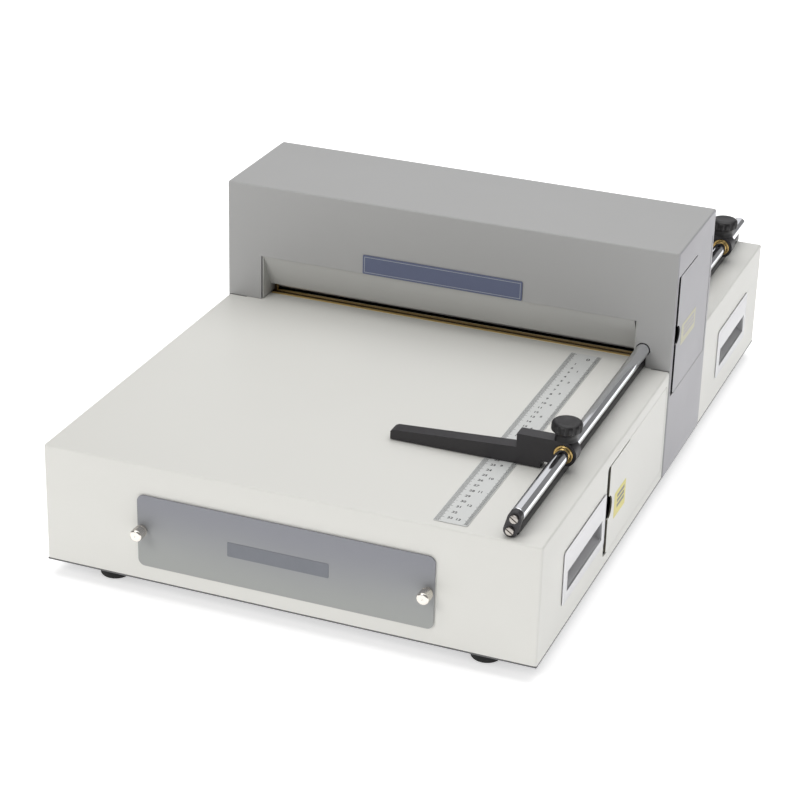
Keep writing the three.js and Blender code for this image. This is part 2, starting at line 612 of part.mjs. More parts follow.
function ruler() {
  const z0 = BASE.height + 0.25;
  return box(RULER.left, RULER.right, RULER.front, RULER.back, z0, z0 + RULER.thickness);
}

function nameBand() {
  const face = HEAD.front - GAP;
  return box(NAME_BAND.left, NAME_BAND.right, face - NAME_BAND.thickness, face,
    NAME_BAND.bottom, NAME_BAND.top);
}

function foot(x, y) {
  return turned([[0, -FOOT.height], [FOOT.radius - 3, -FOOT.height], [FOOT.radius - 1.5, -FOOT.height + 1.5],
    [FOOT.radius, -GAP], [0, -GAP]], 28).translate([x, y, 0]);
}

function controlBox() {
  const { left, right, front, back, top } = CONTROL_BOX;
  return prism(roundRect(left, right, front, back, 3), 'z', SHEET + GAP, top);
}

/** The mains inlet and the switch's frame in one moulding. */
function powerInlet() {
  const { left, right, bottom, top, split } = INLET;
  const outside = BASE.depth;
  const pins = [-8, 0, 8].map((dx, i) => box(-167 + dx - 1, -167 + dx + 1, outside - 19, outside - 4,
    50 + (i === 1 ? 3 : -2), 54 + (i === 1 ? 3 : -2)));
  const flange = prism(roundRect(left, right, bottom, top, 3), 'y', outside + GAP, outside + 2.8);
  const body = box(left + 4.4, right - 4.4, outside - 24, outside + 0.5, bottom + 4.4, top - 4.4);
  const socket = box(left + 7, split - 3, outside - 18, outside + 4, bottom + 8, top - 8);
  const rockerWell = box(split, right - 7, outside - 14, outside + 4, bottom + 7, top - 7);
  return union(cut(union(flange, body), socket, rockerWell), ...pins);
}

const ROCKER = { y: BASE.depth - 3, z: (INLET.bottom + INLET.top) / 2, tilt: 7 };

/** The rocker, tipped to its off side. */
function powerSwitch() {
  const x0 = INLET.split + 0.6;
  const x1 = INLET.right - 7.6;
  const outline = polygon([
    [ROCKER.y - 6, ROCKER.z - 5], [ROCKER.y + 4, ROCKER.z - 7.4], [ROCKER.y + 3, ROCKER.z],
    [ROCKER.y + 4, ROCKER.z + 7.4], [ROCKER.y - 6, ROCKER.z + 5],
  ]);
  return prism(outline, 'x', x0, x1).translate([0, -ROCKER.y, -ROCKER.z])
    .rotate([ROCKER.tilt, 0, 0]).translate([0, ROCKER.y, ROCKER.z]);
}

// ---- finishes and assembly ----------------------------------------------------------------------

function finish(color, roughness, metalness) {
  return { color, roughness, metalness };
}

const FINISHES = {
  cream: finish(0xdedfd8, 0.5, 0),
  grey: finish(0xa9aab0, 0.45, 0),
  panelGrey: finish(0x93949a, 0.5, 0),
  zinc: finish(0x9a9da2, 0.4, 1),
  steel: finish(0x8a8d92, 0.35, 1),
  chrome: finish(0xe6e8ec, 0.08, 1),
  brass: finish(0xc9a24a, 0.3, 1),
  nickel: finish(0xcfcac0, 0.25, 1),
  black: finish(0x2b2a2d, 0.4, 0),
  rubber: finish(0x1c1c1d, 0.85, 0),
  blue: finish(0x5a6484, 0.5, 0),
  ruler: finish(0xc9cbcc, 0.35, 0.6),
  cup: finish(0xc4c5c6, 0.35, 0.4),
  motor: finish(0x3c3f45, 0.45, 0.3),
};

const machine = new THREE.Group();

function add(name, look, shape) {
  const mesh = new THREE.Mesh(geometryOf(shape), new THREE.MeshStandardMaterial(FINISHES[look]));
  mesh.name = name;
  machine.add(mesh);
}

add('base_front_cover', 'cream', baseFrontCover());
add('base_rear_cover', 'cream', baseRearCover());
add('base_pan', 'zinc', basePan());
add('head_cover', 'grey', headCover());
add('front_guard', 'grey', paperGuard(true));
add('rear_guard', 'grey', paperGuard(false));
add('name_band', 'blue', nameBand());
add('front_ruler', 'ruler', ruler());

for (const [sideName, sign] of [['left', -1], ['right', 1]]) {
  add(`foot_front_${sideName}`, 'rubber', foot(sign * FOOT.x, FOOT.inset));
  add(`foot_rear_${sideName}`, 'rubber', foot(sign * FOOT.x, BASE.depth - FOOT.inset));
  add(`handle_front_${sideName}`, 'cup', handleCup(CUP.starts[0], sign));
  add(`handle_rear_${sideName}`, 'cup', handleCup(CUP.starts[1], sign));
  add(`side_frame_${sideName}`, 'steel', sideFrame(sign));
  add(`shaft_bearing_${sideName}`, 'brass', shaftBearing(sign));
  add(`guide_post_${sideName}`, 'chrome', guidePost(sign));
  add(`return_spring_${sideName}`, 'steel', returnSpring(sign));
  add(`cam_${sideName}`, 'steel', cam(sign));
  add(`thumb_screw_${sideName}`, 'nickel', thumbScrew(sign));
}

add('upper_bridge', 'steel', upperBridge());
add('press_beam', 'steel', pressBeam());
add('crease_blade', 'steel', creaseBlade());
add('blade_clamp', 'zinc', bladeClamp());
add('die_bed', 'steel', dieBed());
add('die_strip_front', 'brass', dieStrip(DIE.front, DIE.grooveFront, false));
add('die_strip_rear', 'brass', dieStrip(DIE.grooveBack, DIE.back, true));

add('drive_shaft', 'steel', cylinder('x', SHAFT.radius, -SHAFT.end, SHAFT.end, SHAFT.y, SHAFT.z, 24));
add('drive_gear', 'steel', driveGear());
add('motor_pinion', 'brass', motorPinion());
add('gear_motor', 'motor', gearMotor());
add('motor_bracket', 'zinc', motorBracket());

add('guide_rod', 'chrome', guideRod());
add('rod_rail', 'black', rodRail());
add('rod_end_plate', 'black', rodEndPlate());
add('rod_end_screw_upper', 'nickel', endScrew(END_SCREWS[0]));
add('rod_end_screw_lower', 'nickel', endScrew(END_SCREWS[1]));

for (const [place, y0] of [['front', STOP.frontY], ['rear', STOP.rearY]]) {
  add(`${place}_stop_carriage`, 'black', stopCarriage(y0));
  add(`${place}_stop_bush`, 'brass', stopBush(y0));
  add(`${place}_stop_knob`, 'black', stopKnob(y0));
}

add('tool_panel', 'panelGrey', toolPanel());
add('tool_tray', 'zinc', toolTray());

add('base_side_door', 'cream', sideDoor(BASE_DOOR));
add('base_door_rod', 'steel', doorRod(BASE_DOOR, BASE.height - SHEET - GAP));
add('head_side_door', 'grey', sideDoor(HEAD_DOOR));
add('head_door_rod', 'steel', doorRod(HEAD_DOOR, HEAD.height - SHEET - GAP));

add('control_box', 'motor', controlBox());
add('power_inlet', 'black', powerInlet());
add('power_switch', 'rubber', powerSwitch());

machine.position.set(0, -(FRONT_END + REAR_END) / 2, FOOT.height);

export default machine;
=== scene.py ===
"""Electric creasing machine: the visual model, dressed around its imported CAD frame.

Shapes are drawn in millimetres of the machine's own frame: x = 0 on the centre line, y = 0 on the
base's front face, z = 0 under the base's sheet metal. Placing a piece moves it into the row frame and
turns it into metres.
"""

import json
import logging
import math
from collections.abc import Callable, Iterable, Sequence
from dataclasses import dataclass, field
from enum import Enum

import bmesh
import bpy
from mathutils import Matrix, Vector

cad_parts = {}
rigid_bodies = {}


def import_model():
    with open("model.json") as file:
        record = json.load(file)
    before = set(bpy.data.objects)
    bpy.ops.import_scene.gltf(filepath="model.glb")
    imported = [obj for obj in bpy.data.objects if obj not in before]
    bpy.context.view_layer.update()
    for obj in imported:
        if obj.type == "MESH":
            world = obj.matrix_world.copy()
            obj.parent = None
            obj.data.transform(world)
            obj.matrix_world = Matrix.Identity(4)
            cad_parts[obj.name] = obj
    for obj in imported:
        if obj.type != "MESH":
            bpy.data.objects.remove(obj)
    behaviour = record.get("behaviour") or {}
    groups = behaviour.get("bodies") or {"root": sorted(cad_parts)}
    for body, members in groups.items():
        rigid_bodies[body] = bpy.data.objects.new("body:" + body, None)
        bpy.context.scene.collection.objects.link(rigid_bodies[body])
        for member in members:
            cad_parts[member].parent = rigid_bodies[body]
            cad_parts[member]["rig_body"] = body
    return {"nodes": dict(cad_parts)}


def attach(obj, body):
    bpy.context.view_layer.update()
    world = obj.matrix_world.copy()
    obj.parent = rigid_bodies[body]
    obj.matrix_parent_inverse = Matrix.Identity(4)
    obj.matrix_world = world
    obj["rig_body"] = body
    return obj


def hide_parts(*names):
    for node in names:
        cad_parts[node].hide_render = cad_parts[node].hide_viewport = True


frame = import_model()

MM = 0.001
ORIGIN = Vector((0.0, -345.0, 15.0))
log = logging.getLogger("creaser")

Colour = tuple[float, float, float]
Point = Sequence[float]


# ---- shader graph -------------------------------------------------------------------------------


class Value:
    """A number socket of a material; arithmetic on it adds Math nodes."""

    def __init__(self, graph: "Graph", socket: bpy.types.NodeSocket) -> None:
        """Wraps one output socket of a graph."""
        self.graph = graph
        self.socket = socket

    def _math(self, operation: str, *operands: "Value | float") -> "Value":
        """One Math node.

        Args:
            operation: the node's operation.
            operands: its inputs in order.

        Returns:
            The node's result.
        """
        made = self.graph.node("ShaderNodeMath", {"operation": operation}, dict(enumerate(operands)))
        return Value(self.graph, made.outputs[0])

    def __add__(self, other: "Value | float") -> "Value":
        """self + other."""
        return self._math("ADD", self, other)

    def __radd__(self, other: float) -> "Value":
        """other + self."""
        return self._math("ADD", other, self)

    def __mul__(self, other: "Value | float") -> "Value":
        """self * other."""
        return self._math("MULTIPLY", self, other)

    def __rmul__(self, other: float) -> "Value":
        """other * self."""
        return self._math("MULTIPLY", other, self)

    def step(self, low: float, high: float) -> "Value":
        """0 below low, 1 above high, smooth between.

        Args:
            low: where the step starts.
            high: where it ends.

        Returns:
            The stepped value.
        """
        made = self.graph.node(
            "ShaderNodeMapRange",
            {"interpolation_type": "SMOOTHSTEP"},
            {"Value": self, "From Min": low, "From Max": high},
        )
        return Value(self.graph, made.outputs["Result"])


class Graph:
    """The node tree of one material."""

    def __init__(self, name: str) -> None:
        """Starts an empty material with a Principled shader."""
        self.material = bpy.data.materials.new(name)
        self.material.use_nodes = True
        self.tree = self.material.node_tree
        self.tree.nodes.clear()
        self.shader = self.tree.nodes.new("ShaderNodeBsdfPrincipled")
        output = self.tree.nodes.new("ShaderNodeOutputMaterial")
        self.tree.links.new(self.shader.outputs[0], output.inputs["Surface"])

    def node(self, kind: str, settings: dict | None = None, inputs: dict | None = None) -> bpy.types.Node:
        """Adds a node.

        Args:
            kind: the node's type.
            settings: attributes that are set first.
            inputs: values or links by socket name or number.

        Returns:
            The node.
        """
        made = self.tree.nodes.new(kind)
        for key, setting in (settings or {}).items():
            setattr(made, key, setting)
        self.feed(made, inputs or {})
        return made

    def feed(self, node: bpy.types.Node, inputs: dict) -> None:
        """Sets or links a node's inputs.

        Args:
            node: the node to feed.
            inputs: values or links by socket name or number.
        """
        for key, given in inputs.items():
            socket = node.inputs[key]
            if isinstance(given, Value):
                self.tree.links.new(given.socket, socket)
            elif isinstance(given, bpy.types.NodeSocket):
                self.tree.links.new(given, socket)
            elif socket.type == "RGBA" and len(given) == 3:
                socket.default_value = (*given, 1.0)
            else:
                socket.default_value = given

    def place(self, scale: Point = (1.0, 1.0, 1.0)) -> bpy.types.NodeSocket:
        """Object coordinates, stretched along each axis."""
        spot = self.node("ShaderNodeTexCoord").outputs["Object"]
        return self.node("ShaderNodeMapping", {}, {"Vector": spot, "Scale": scale}).outputs[0]

    def noise(self, scale: float, detail: float = 2.0, stretch: Point = (1.0, 1.0, 1.0)) -> Value:
        """Noise over the object's own space.

        Args:
            scale: cells per metre.
            detail: octaves.
            stretch: extra scale along each axis.

        Returns:
            The noise, about 0.5 on average.
        """
        inputs = {"Vector": self.place(stretch), "Scale": scale, "Detail": detail}
        return Value(self, self.node("ShaderNodeTexNoise", {}, inputs).outputs["Fac"])

    def blend(self, factor: Value | float, low: object, high: object) -> bpy.types.NodeSocket:
        """A mix of two colours.

        Args:
            factor: 0 gives low, 1 gives high.
            low: colour or colour socket.
            high: colour or colour socket.

        Returns:
            The mixed colour's socket.
        """
        made = self.node("ShaderNodeMix", {"data_type": "RGBA"}, {0: factor, 6: low, 7: high})
        return made.outputs[2]

    def bump(self, height: Value, depth_mm: float, strength: float = 1.0) -> bpy.types.NodeSocket:
        """A bump from a height value.

        Args:
            height: the height, 0 to 1.
            depth_mm: how deep 0 to 1 is.
            strength: how much of it shows.

        Returns:
            The normal's socket.
        """
        inputs = {"Height": height, "Distance": depth_mm * MM, "Strength": strength}
        return self.node("ShaderNodeBump", {}, inputs).outputs[0]

    def surface(self, **inputs: object) -> bpy.types.Material:
        """Feeds the shader; underscores in the names stand for spaces.

        Args:
            inputs: the shader's inputs.

        Returns:
            The finished material.
        """
        for key, given in inputs.items():
            self.feed(self.shader, {key.replace("_", " ").title().replace("Ior", "IOR"): given})
        return self.material


def tint(colour: Colour, factor: float) -> Colour:
    """A colour made lighter or darker.

    Args:
        colour: the colour.
        factor: 1 leaves it as it is.

    Returns:
        The scaled colour.
    """
    return tuple(min(part * factor, 1.0) for part in colour)


# ---- finishes -----------------------------------------------------------------------------------


class Direction(Enum):
    """The way a brushed surface's lines run, as the stretch of its noise."""

    X = (0.03, 1.0, 1.0)
    Y = (1.0, 0.03, 1.0)
    Z = (1.0, 1.0, 0.03)


@dataclass(frozen=True)
class Finish:
    """What a surface is made of; each kind builds its own material."""

    name: str
    slot: str

    def build(self) -> bpy.types.Material:
        """Makes the material; kinds of finish give their own."""
        raise NotImplementedError

    def material(self) -> bpy.types.Material:
        """The material of this finish, made on first use."""
        return bpy.data.materials.get(self.name) or self.build()


@dataclass(frozen=True)
class PowderCoat(Finish):
    """Satin powder coat on sheet metal: faint orange peel, fine speckle and slow changes of tone."""

    colour: Colour = (0.7, 0.7, 0.7)
    roughness: float = 0.42
    peel_mm: float = 0.035
    fleck_share: float = 0.05
    fleck_tone: float = 0.6
    drift_scale: float = 5.0
    fleck_scale: float = 1500.0
    peel_scale: float = 420.0
    smudge_scale: float = 22.0

    def ground(self, graph: Graph) -> bpy.types.NodeSocket:
        """The colour under the flecks."""
        drift = graph.noise(self.drift_scale, 3.0)
        return graph.blend(drift, tint(self.colour, 0.975), tint(self.colour, 1.02))

    def build(self) -> bpy.types.Material:
        """Builds the paint."""
        graph = Graph(self.name)
        fleck = graph.noise(self.fleck_scale, 2.0).step(0.66, 0.74) * self.fleck_share
        smudge = graph.noise(self.smudge_scale, 4.0)
        return graph.surface(
            base_color=graph.blend(fleck, self.ground(graph), tint(self.colour, self.fleck_tone)),
            roughness=self.roughness - 0.05 + smudge * 0.1,
            specular_ior_level=0.45,
            normal=graph.bump(graph.noise(self.peel_scale, 3.0), self.peel_mm, 0.45),
        )


@dataclass(frozen=True)
class FadedPaint(PowderCoat):
    """Powder coat with a painted reflection of the floor: darker at its upper edge, lighter at its lower
    edge.
    """

    # colour at the lower edge, where the floor's reflection is painted into the paint's colour
    lower: Colour = (0.7, 0.7, 0.7)
    heights: tuple[float, float] = (0.04, 0.105)
    sway_scale: float = 9.0

    def ground(self, graph: Graph) -> bpy.types.NodeSocket:
        """The colour under the flecks, with the floor's reflection painted in towards the lower edge."""
        split = graph.node("ShaderNodeSeparateXYZ", {}, {0: graph.place()})
        rise = Value(graph, split.outputs[2]) + graph.noise(self.sway_scale, 2.0) * 0.02
        return graph.blend(rise.step(*self.heights), self.lower, self.colour)


@dataclass(frozen=True)
class Brushed(Finish):
    """Metal with fine parallel lines and a little tarnish."""

    colour: Colour = (0.6, 0.6, 0.62)
    roughness: float = 0.32
    lines: Direction = Direction.Y
    tarnish: float = 0.12
    metallic: float = 1.0
    line_scale: float = 2600.0
    patch_scale: float = 30.0

    def build(self) -> bpy.types.Material:
        """Builds the metal."""
        graph = Graph(self.name)
        grain = graph.noise(self.line_scale, 3.0, self.lines.value)
        patch = graph.noise(self.patch_scale, 4.0)
        dulled = graph.blend(patch.step(0.42, 0.72) * self.tarnish, self.colour, tint(self.colour, 0.55))
        colour = graph.blend(grain * 0.25, dulled, tint(self.colour, 0.72))
        return graph.surface(
            base_color=colour,
            metallic=self.metallic,
            roughness=self.roughness - 0.08 + grain * 0.12 + patch * 0.06,
            normal=graph.bump(grain, 0.012, 0.35),
        )


@dataclass(frozen=True)
class Polished(Finish):
    """Plated metal: bright, with faint wiping marks."""

    colour: Colour = (0.86, 0.87, 0.9)
    roughness: float = 0.06
    wipe_scale: float = 60.0
    scratch_scale: float = 3200.0

    def build(self) -> bpy.types.Material:
        """Builds the plating."""
        graph = Graph(self.name)
        wipe = graph.noise(self.wipe_scale, 5.0, (1.0, 0.25, 1.0))
        scratch = graph.noise(self.scratch_scale, 1.0, (1.0, 0.02, 1.0))
        return graph.surface(
            base_color=graph.blend(wipe, self.colour, tint(self.colour, 0.94)),
            metallic=1.0,
            roughness=self.roughness + wipe.step(0.5, 0.8) * 0.07 + scratch.step(0.6, 0.75) * 0.05,
            normal=graph.bump(scratch, 0.002, 0.25),
        )


@dataclass(frozen=True)
class Moulded(Finish):
    """Black anodising, hard plastic or rubber with a fine grain."""

    colour: Colour = (0.03, 0.03, 0.032)
    roughness: float = 0.4
    grain_mm: float = 0.02
    grain_scale: float = 1800.0
    dust_scale: float = 90.0

    def build(self) -> bpy.types.Material:
        """Builds the moulding."""
        graph = Graph(self.name)
        grain = graph.noise(self.grain_scale, 2.0)
        dust = graph.noise(self.dust_scale, 5.0).step(0.5, 0.85)
        return graph.surface(
            base_color=graph.blend(dust * 0.18, self.colour, tint(self.colour, 2.6)),
            roughness=self.roughness + dust * 0.15 + grain * 0.06,
            normal=graph.bump(grain, self.grain_mm, 0.5),
        )


@dataclass(frozen=True)
class Film(Finish):
    """Printed or plain film on a plate or a label: even colour, slight sheen, faint fibres."""

    colour: Colour = (0.5, 0.5, 0.5)
    roughness: float = 0.35
    mottle_scale: float = 160.0
    fibre_scale: float = 2400.0

    def build(self) -> bpy.types.Material:
        """Builds the film."""
        graph = Graph(self.name)
        mottle = graph.noise(self.mottle_scale, 4.0)
        fine = graph.noise(self.fibre_scale, 1.0)
        return graph.surface(
            base_color=graph.blend(mottle, tint(self.colour, 0.96), tint(self.colour, 1.04)),
            roughness=self.roughness + fine * 0.08,
            normal=graph.bump(fine, 0.006, 0.3),
        )


CREAM = PowderCoat("cream_powder_coat", "cream_paint", (0.74, 0.735, 0.70), 0.4)
HEAD_GREY = PowderCoat("grey_powder_coat", "grey_paint", (0.40, 0.40, 0.398), 0.45)
SIDE_GREY = PowderCoat("side_grey_powder_coat", "grey_paint", (0.36, 0.355, 0.38), 0.38)
# Head grey made lighter for the slanted guards: painted light, making up for the shade they sit in under the
# head.
GUARD_LIT_GREY = PowderCoat("guard_grey_painted_light_coat", "grey_paint", (0.50, 0.50, 0.485), 0.42)
# The tool panel's grey carries a painted reflection of the floor: lighter towards its lower edge.
PANEL_GREY = FadedPaint(
    "panel_grey_paint", "panel_grey", (0.25, 0.255, 0.285), 0.42, 0.02,
    fleck_share=0.06, fleck_tone=0.5, lower=(0.345, 0.355, 0.345),
)
BAND_BLUE = Film("band_blue_film", "band_blue", (0.105, 0.125, 0.21), 0.4)
BAND_LINE = Film("band_line_film", "band_blue", (0.36, 0.38, 0.43), 0.4)
RULER_PLATE = Brushed(
    "ruler_plate", "ruler_silver", (0.70, 0.71, 0.70), 0.4, Direction.Y, 0.04, metallic=0.15
)
RULER_INK = Film("ruler_ink", "ruler_silver", (0.035, 0.035, 0.037), 0.5)
CUP_SILVER = Brushed("cup_silver", "cup_silver", (0.80, 0.80, 0.815), 0.3, Direction.Y, 0.03, metallic=0.05)
ZINC = Brushed("zinc_plate", "zinc", (0.62, 0.63, 0.65), 0.36, Direction.Y, 0.2)
STEEL = Brushed("ground_steel", "machine_steel", (0.5, 0.5, 0.51), 0.3, Direction.X, 0.22)
SPRING_STEEL = Brushed("spring_steel", "machine_steel", (0.4, 0.4, 0.41), 0.3, Direction.Z, 0.1)
CHROME = Polished("hard_chrome", "chrome_rod")
NICKEL = Polished("nickel_plate", "nickel", (0.80, 0.765, 0.71), 0.16)
DULL_NICKEL = Polished("dull_nickel_plate", "nickel", (0.47, 0.44, 0.41), 0.3)
BRASS = Brushed("machined_brass", "brass", (0.80, 0.56, 0.22), 0.26, Direction.X, 0.25)
BLACK = Moulded("black_anodising", "black_anodised", (0.020, 0.018, 0.021), 0.36, 0.015)
KNOB_BLACK = Moulded("knob_plastic", "black_anodised", (0.006, 0.005, 0.006), 0.4, 0.01, 1100.0)
RUBBER = Moulded("black_rubber", "black_rubber", (0.013, 0.013, 0.014), 0.72, 0.05, 900.0)
# Dark paint on the doors' front edges: painted shade, standing in for the dark gap in front of each door.
BROWN_GAP_SHADE = Moulded("brown_gap_painted_shade", "black_rubber", (0.12, 0.11, 0.085), 0.6, 0.02)
BLACK_GAP_SHADE = Moulded("black_gap_painted_shade", "black_rubber", (0.014, 0.013, 0.015), 0.6, 0.02)
MOTOR_PAINT = PowderCoat("motor_paint", "motor_paint", (0.05, 0.055, 0.065), 0.45, 0.05)
LABEL_YELLOW = Film("label_yellow", "cream_paint", (0.70, 0.62, 0.16), 0.35)
LABEL_GREY = Film("label_grey", "cream_paint", (0.19, 0.19, 0.18), 0.4)
LABEL_PALE = Film("label_pale", "cream_paint", (0.50, 0.48, 0.33), 0.35)
LABEL_LILAC = Film("label_lilac", "cream_paint", (0.40, 0.385, 0.40), 0.4)
LABEL_SLATE = Film("label_slate", "panel_grey", (0.17, 0.18, 0.205), 0.38)
# Dark grey on the base pan, whose edge shows below the covers: a painted shade line along the bottom edges.
EDGE_SHADE = PowderCoat("pan_edge_painted_shade", "zinc", (0.14, 0.14, 0.145), 0.5)
STRIP_BRASS = Brushed("strip_brass", "brass", (0.90, 0.65, 0.26), 0.3, Direction.X, 0.15, metallic=0.4)
# Near-black paint on the groove's walls: painted shade in the narrow creasing groove.
GROOVE_WALL_SHADE = Brushed("groove_wall_painted_shade", "brass", (0.10, 0.06, 0.025), 0.4, Direction.X, 0.2, metallic=0.3)


# ---- solids -------------------------------------------------------------------------------------


class Axis(Enum):
    """A row axis; its value is the turn that lays +Z along it."""

    X = Matrix.Rotation(math.pi / 2, 4, "Y").freeze()
    Y = Matrix.Rotation(-math.pi / 2, 4, "X").freeze()
    Z = Matrix.Identity(4).freeze()

    @property
    def way(self) -> Vector:
        """The unit vector along the axis."""
        return self.value.to_3x3() @ Vector((0, 0, 1))


def show(name: str, data: bpy.types.ID) -> bpy.types.Object:
    """Puts a mesh, curve, light or camera into the scene.

    Args:
        name: the object's name.
        data: what it shows.

    Returns:
        The object.
    """
    item = bpy.data.objects.new(name, data)
    bpy.context.scene.collection.objects.link(item)
    return item


class Form:
    """A solid under construction, in millimetres of the row frame."""

    def __init__(self) -> None:
        """Starts with nothing."""
        self.bm = bmesh.new()

    @classmethod
    def of_node(cls, node: str) -> "Form":
        """A merged copy of a CAD node, its flat faces made whole.

        Args:
            node: the node's name.

        Returns:
            The form.
        """
        form = cls()
        form.bm.from_mesh(frame["nodes"][node].data)
        bmesh.ops.scale(form.bm, vec=Vector((1, 1, 1)) / MM, verts=form.bm.verts)
        bmesh.ops.translate(form.bm, vec=-ORIGIN, verts=form.bm.verts)
        bmesh.ops.remove_doubles(form.bm, verts=form.bm.verts, dist=0.002)
        bmesh.ops.dissolve_limit(
            form.bm, angle_limit=math.radians(0.6), verts=form.bm.verts, edges=form.bm.edges, delimit=set()
        )
        return form

    def block(self, lo: Point, hi: Point, corner: float = 0.0, along: Axis | None = None,
              steps: int = 6) -> "Form":
        """Adds a box, with its edges along one axis rounded if asked.

        Args:
            lo: lowest corner.
            hi: highest corner.
            corner: radius of those edges.
            along: the axis of those edges, or None for every edge.
            steps: segments of the rounding.

        Returns:
            This form.
        """
        lo, hi = Vector(lo), Vector(hi)
        matrix = Matrix.Translation((lo + hi) / 2) @ Matrix.Diagonal((*(hi - lo), 1.0))
        verts = bmesh.ops.create_cube(self.bm, size=1.0, matrix=matrix)["verts"]
        if corner:
            edges = {edge for vert in verts for edge in vert.link_edges}
            if along:
                ways = {e: (e.verts[0].co - e.verts[1].co).normalized() for e in edges}
                edges = {e for e, way in ways.items() if abs(way.dot(along.way)) > 0.99}
            self.round_edges(edges, corner, steps)
        return self

    def round_edges(self, edges: Iterable[bmesh.types.BMEdge], radius: float, steps: int = 6) -> "Form":
        """Rounds edges.

        Args:
            edges: the edges.
            radius: the rounding's radius.
            steps: its segments.

        Returns:
            This form.
        """
        bmesh.ops.bevel(
            self.bm, geom=list(edges), offset=radius, offset_type="OFFSET", affect="EDGES", segments=steps,
            profile=0.5, material=-1, clamp_overlap=True,
        )
        return self

    def edges_where(self, test: Callable[[Vector, Vector], bool]) -> list[bmesh.types.BMEdge]:
        """The edges whose middle and direction pass a test.

        Args:
            test: takes the middle and the unit direction.

        Returns:
            The edges.
        """
        found = []
        for edge in self.bm.edges:
            start, end = edge.verts[0].co, edge.verts[1].co
            if test((start + end) / 2, (end - start).normalized()):
                found.append(edge)
        return found

    def rod(self, axis: Axis, radius: float, start: float, end: float, centre: Point,
            steps: int = 64) -> "Form":
        """Adds a cylinder.

        Args:
            axis: the axis it lies along.
            radius: its radius.
            start: its lower end along that axis.
            end: its upper end.
            centre: a point on its axis line.
            steps: its sides.

        Returns:
            This form.
        """
        way = axis.way
        middle = Vector(centre) - way * way.dot(Vector(centre)) + way * (start + end) / 2
        bmesh.ops.create_cone(
            self.bm, cap_ends=True, cap_tris=False, segments=steps, radius1=radius,
            radius2=radius, depth=end - start,
            matrix=Matrix.Translation(middle) @ axis.value,
        )
        return self

    def turned(self, axis: Axis, centre: Point, profile: Sequence[tuple[float, float]], steps: int = 64,
               closed: bool = False) -> "Form":
        """Adds a turned solid.

        Args:
            axis: the axis it turns about.
            centre: the point where the profile's lengths are measured from.
            profile: (radius, length) points, from the axis to the axis unless closed.
            steps: segments of the turn.
            closed: whether the profile closes on itself, as a ring's does.

        Returns:
            This form.
        """
        part = bmesh.new()
        verts = [part.verts.new((radius, 0.0, length)) for radius, length in profile]
        pairs = list(zip(verts, verts[1:])) + ([(verts[-1], verts[0])] if closed else [])
        edges = [part.edges.new(pair) for pair in pairs]
        bmesh.ops.spin(
            part, geom=verts + edges, cent=(0, 0, 0), axis=(0, 0, 1), dvec=(0, 0, 0), angle=math.tau,
            steps=steps, use_merge=True, use_normal_flip=False, use_duplicate=False,
        )
        bmesh.ops.remove_doubles(part, verts=part.verts, dist=1e-4)
        bmesh.ops.recalc_face_normals(part, faces=part.faces)
        bmesh.ops.transform(part, matrix=Matrix.Translation(Vector(centre)) @ axis.value, verts=part.verts)
        return self.absorb(part)

    def absorb(self, part: bmesh.types.BMesh) -> "Form":
        """Adds another mesh to this one and frees it."""
        mesh = bpy.data.meshes.new("part")
        part.to_mesh(mesh)
        part.free()
        self.bm.from_mesh(mesh)
        bpy.data.meshes.remove(mesh)
        return self

    def outline(self, points: Sequence[tuple[float, float]], start: float, end: float, axis: Axis = Axis.Y,
                corners: dict[int, tuple[float, int]] | None = None) -> "Form":
        """Adds a prism of a polygon; for Y the points are (x, z), for X (y, z), for Z (x, y).

        Args:
            points: the polygon's corners.
            start: where the prism starts along its axis.
            end: where it ends.
            axis: the axis it runs along.
            corners: radius and segments for the corners that are rounded, by number.

        Returns:
            This form.
        """
        lay = {
            Axis.X: lambda a, b: (start, a, b),
            Axis.Y: lambda a, b: (a, start, b),
            Axis.Z: lambda a, b: (a, b, start),
        }[axis]
        part = bmesh.new()
        verts = [part.verts.new(lay(a, b)) for a, b in points]
        part.faces.new(verts)
        for number, (radius, steps) in (corners or {}).items():
            bmesh.ops.bevel(
                part, geom=[verts[number]], offset=radius, offset_type="OFFSET", affect="VERTICES",
                segments=steps, profile=0.5, material=-1, clamp_overlap=True,
            )
        raised = bmesh.ops.extrude_face_region(part, geom=list(part.faces))["geom"]
        moved = [item for item in raised if isinstance(item, bmesh.types.BMVert)]
        bmesh.ops.translate(part, vec=axis.way * (end - start), verts=moved)
        bmesh.ops.recalc_face_normals(part, faces=part.faces)
        return self.absorb(part)

    def turn(self, angle: float, axis: Axis, about: Point) -> "Form":
        """Turns the whole form.

        Args:
            angle: in degrees.
            axis: the axis turned about.
            about: a point on it.

        Returns:
            This form.
        """
        matrix = Matrix.Rotation(math.radians(angle), 3, axis.way)
        bmesh.ops.rotate(self.bm, cent=Vector(about), matrix=matrix, verts=self.bm.verts)
        return self

    def stretch(self, factors: Point, about: Point) -> "Form":
        """Stretches the whole form.

        Args:
            factors: the stretch along each axis.
            about: the point that stays.

        Returns:
            This form.
        """
        space = Matrix.Translation(-Vector(about))
        bmesh.ops.scale(self.bm, vec=Vector(factors), space=space, verts=self.bm.verts)
        return self

    def paint(self, number: int, test: Callable[[Vector, Vector], bool]) -> "Form":
        """Gives a finish to the faces whose middle and normal pass a test.

        Args:
            number: the finish's number.
            test: takes the middle and the normal.

        Returns:
            This form.
        """
        for face in self.bm.faces:
            if test(face.calc_center_median(), face.normal):
                face.material_index = number
        return self

    def _loose_object(self) -> bpy.types.Object:
        """The form as a scene object for a boolean."""
        mesh = bpy.data.meshes.new("loose")
        self.bm.to_mesh(mesh)
        return show("loose", mesh)

